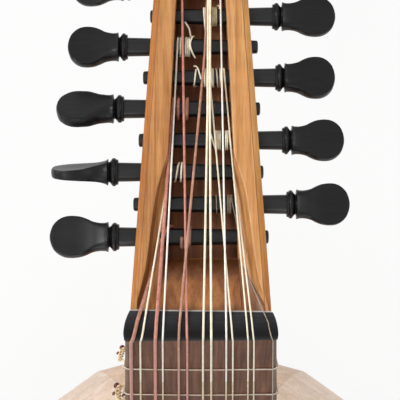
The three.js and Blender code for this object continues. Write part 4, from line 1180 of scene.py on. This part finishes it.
def make_top():
    right = [Vector((body_half(y), y, 0)) for y in bowl_stations(0, 40)[:-1]] + [Vector((0, BODY_END, 0))]
    outline = right + [Vector((-p.x, p.y, 0)) for p in reversed(right[:-1])]
    hole = []
    for p in outline:
        away = atan2(p.x, p.y - ROSE_AT)
        hole.append(Vector((ROSE_RADIUS * sin(away), ROSE_AT + ROSE_RADIUS * cos(away), 0)))
    low = Vector((0, 0, -TOP_THICKNESS))
    rings = [[p + low for p in hole], hole, outline, [p + low for p in outline]]
    bevel(piece("soundboard_plate", skin(rings, closed=True), top_wood, slot="soundboard", node="soundboard"),
          0.35, 2, 40)


def spot(radius, turns):
    """A place round the rose's middle."""
    return Vector((radius * cos(turns * tau), radius * sin(turns * tau), 0))


def make_rose():
    """A traditional interlace of circles and six-pointed strapwork inside a round border."""
    centre = Vector((0, ROSE_AT, 0))
    parts = []

    def strap(path, width, level):
        top, shoulder, low = (Vector((0, 0, z)) for z in (level, level - 0.25, -1.9))
        rings = []
        for i, p in enumerate(path):
            way = (path[(i + 1) % len(path)] - path[i - 1]).normalized()
            side = Vector((way.y, -way.x, 0)) * width / 2
            section = (low - side, low + side, shoulder + side * 0.98, top + side * 0.7, top - side * 0.7,
                       shoulder - side * 0.98)
            rings.append([centre + p + corner for corner in section])
        parts.append(skin(rings, closed=True))

    def circle(middle, radius, width, level, steps=48):
        strap([middle + spot(radius, k / steps) for k in range(steps)], width, level)

    middle = Vector((0, 0, 0))
    circle(middle, 48.2, 2.2, 0.02, 96)
    circle(middle, 45.2, 1.2, -0.2, 96)
    for k in range(12):
        circle(spot(33.5, k / 12), 11.2, 1.5, -0.1 - 0.12 * (k % 2))
    for k in range(6):
        circle(spot(16.2, k / 6), 16.2, 1.5, -0.15 - 0.1 * (k % 2), 64)
    for k in range(2):
        corners = [spot(32.4, 1 / 4 - (k + 2 * j) / 6) for j in range(4)]
        sides = zip(corners, corners[1:])
        strap([a.lerp(b, t / 8) for a, b in sides for t in range(8)], 1.5, -0.18 - 0.08 * k)
    circle(middle, 22.6, 1.3, -0.24, 72)
    circle(middle, 6.5, 1.3, -0.1)
    piece("rose_tracery", joined(parts), top_wood, slot="soundboard", sharp=30)


# A string's tie at the bridge: across and along from its hole, height, and its radius' share in it
TIE = [(0, -0.6, STRINGS_OVER_TOP, 0), (1.2, -0.9, 7.4, 0), (1.3, 1.2, 9.0, 1), (0.9, 4.0, 8.9, 1),
       (0.2, 1.0, 8.9, 1), (-0.6, -0.9, 7.6, 0), (-1.6, -1.3, 6.0, 0), (-2.6, -1.5, 4.6, 0)]


def make_bridge():
    rings = []
    for t in spread(-1, 1, 60):
        tip = clamp((1 - abs(t)) * BRIDGE_HALF / 20)
        ease = tip * tip * (3 - 2 * tip)
        wide, tall = mix(*BRIDGE_WIDTH, ease), mix(*BRIDGE_HEIGHT, ease)
        front = STRING_LENGTH + (BRIDGE_WIDTH[1] - wide) / 2 + 0.1
        section = [(0, 0.05), (wide, 0.05), (wide, tall * 0.55), (wide * 0.86, tall * 0.78),
                   (wide * 0.62, tall * 0.97), (wide * 0.5, tall), (0.4, tall), (0, tall - 0.4)]
        rings.append([Vector((BRIDGE_HALF * t, front + along, height)) for along, height in section])
    piece("bridge_bar", skin(rings), bridge_wood, slot="bridge", node="bridge", sharp=30)
    ties = []
    for string in STRINGS:
        x, r = string.nut * BRIDGE_SPREAD, string.radius
        loop = [Vector((x + across, STRING_LENGTH + along, height + lift * r))
                for across, along, height, lift in TIE]
        ties.append(tube(smooth_path(loop, 5), min(r, 0.6)))
    piece("bridge_ties", joined(ties), straw, slot="gut_pale", sharp=60)


make_neck()
make_fingerboard()
make_nut()
make_pegbox()
make_root_floor()
for number in range(1, PEGS + 1):
    make_peg(number)
for string in STRINGS:
    make_string(string)
for number in range(1, FRETS + 1):
    make_fret(number)
for number in range(1, RIBS + 1):
    make_rib(number)
make_clasp()
make_top()
make_rose()
make_bridge()
for name, node in frame["nodes"].items():
    if name == "neck_block" or name.startswith("soundboard_bar"):
        node.data.materials.clear()
        node.data.materials.append(raw_wood)

# Floor and light


def make_stage():
    """A pale floor and sky that the camera sees as white. The floor keeps the lute's shadow."""
    mesh = bpy.data.meshes.new("floor")
    mesh.from_pydata([(-6, -6, 0), (6, -6, 0), (6, 6, 0), (-6, 6, 0)], [], [(0, 1, 2, 3)])
    floor = bpy.data.objects.new("floor", mesh)
    bpy.context.collection.objects.link(floor)
    shader = new_shader("floor", Roughness=0.9, Base_Color=linear((236, 236, 236)))
    share = shader.node("ShaderNodeMath", {0: shader.seen(), 1: 0.92}, operation="MULTIPLY").outputs[0]
    glow = shader.node("ShaderNodeEmission", {"Color": (1, 1, 1, 1), "Strength": 1.0})
    mixed = shader.node("ShaderNodeMixShader", {0: share, 1: shader.surface.outputs[0], 2: glow.outputs[0]})
    shader.tree.links.new(mixed.outputs[0], shader.tree.nodes["Material Output"].inputs["Surface"])
    mesh.materials.append(shader.owner)

    bpy.context.scene.world = bpy.data.worlds.new("studio")
    sky = Shader(bpy.context.scene.world, Color=(1, 1, 1, 1), Strength=0.35)
    bright = sky.node("ShaderNodeBackground", {"Color": (1, 1, 1, 1), "Strength": 1.0})
    mixed = sky.node("ShaderNodeMixShader", {0: sky.seen(), 1: sky.surface.outputs[0], 2: bright.outputs[0]})
    sky.tree.links.new(mixed.outputs[0], sky.tree.nodes["World Output"].inputs["Surface"])


def lamp(name, place, target, size, power):
    data = bpy.data.lights.new(name, "AREA")
    data.shape = "DISK"
    data.size = size
    data.energy = power
    obj = bpy.data.objects.new(name, data)
    obj.location = place
    obj.rotation_euler = (Vector(target) - Vector(place)).to_track_quat("-Z", "Y").to_euler()
    bpy.context.collection.objects.link(obj)


make_stage()
head = world(in_pegbox(0, 60, 0))
lamp("key", (0.75, -1.25, 0.35), head, 0.45, 6.9)
lamp("high", (0.7, -0.9, 1.1), head, 0.8, 4.3)
lamp("fill", (-1.1, -1.2, 0.6), head, 1.0, 2.6)
lamp("top", (0.2, 0.3, 1.7), (0, 0.1, 0.1), 1.2, 9)
lamp("low_left", (1.2, -0.75, 0.12), (0.05, -0.05, 0.12), 0.5, 3)
lamp("low_right", (-1.2, -0.75, 0.12), (-0.05, -0.05, 0.12), 0.5, 3.4)
bpy.context.scene.view_settings.view_transform = "Standard"
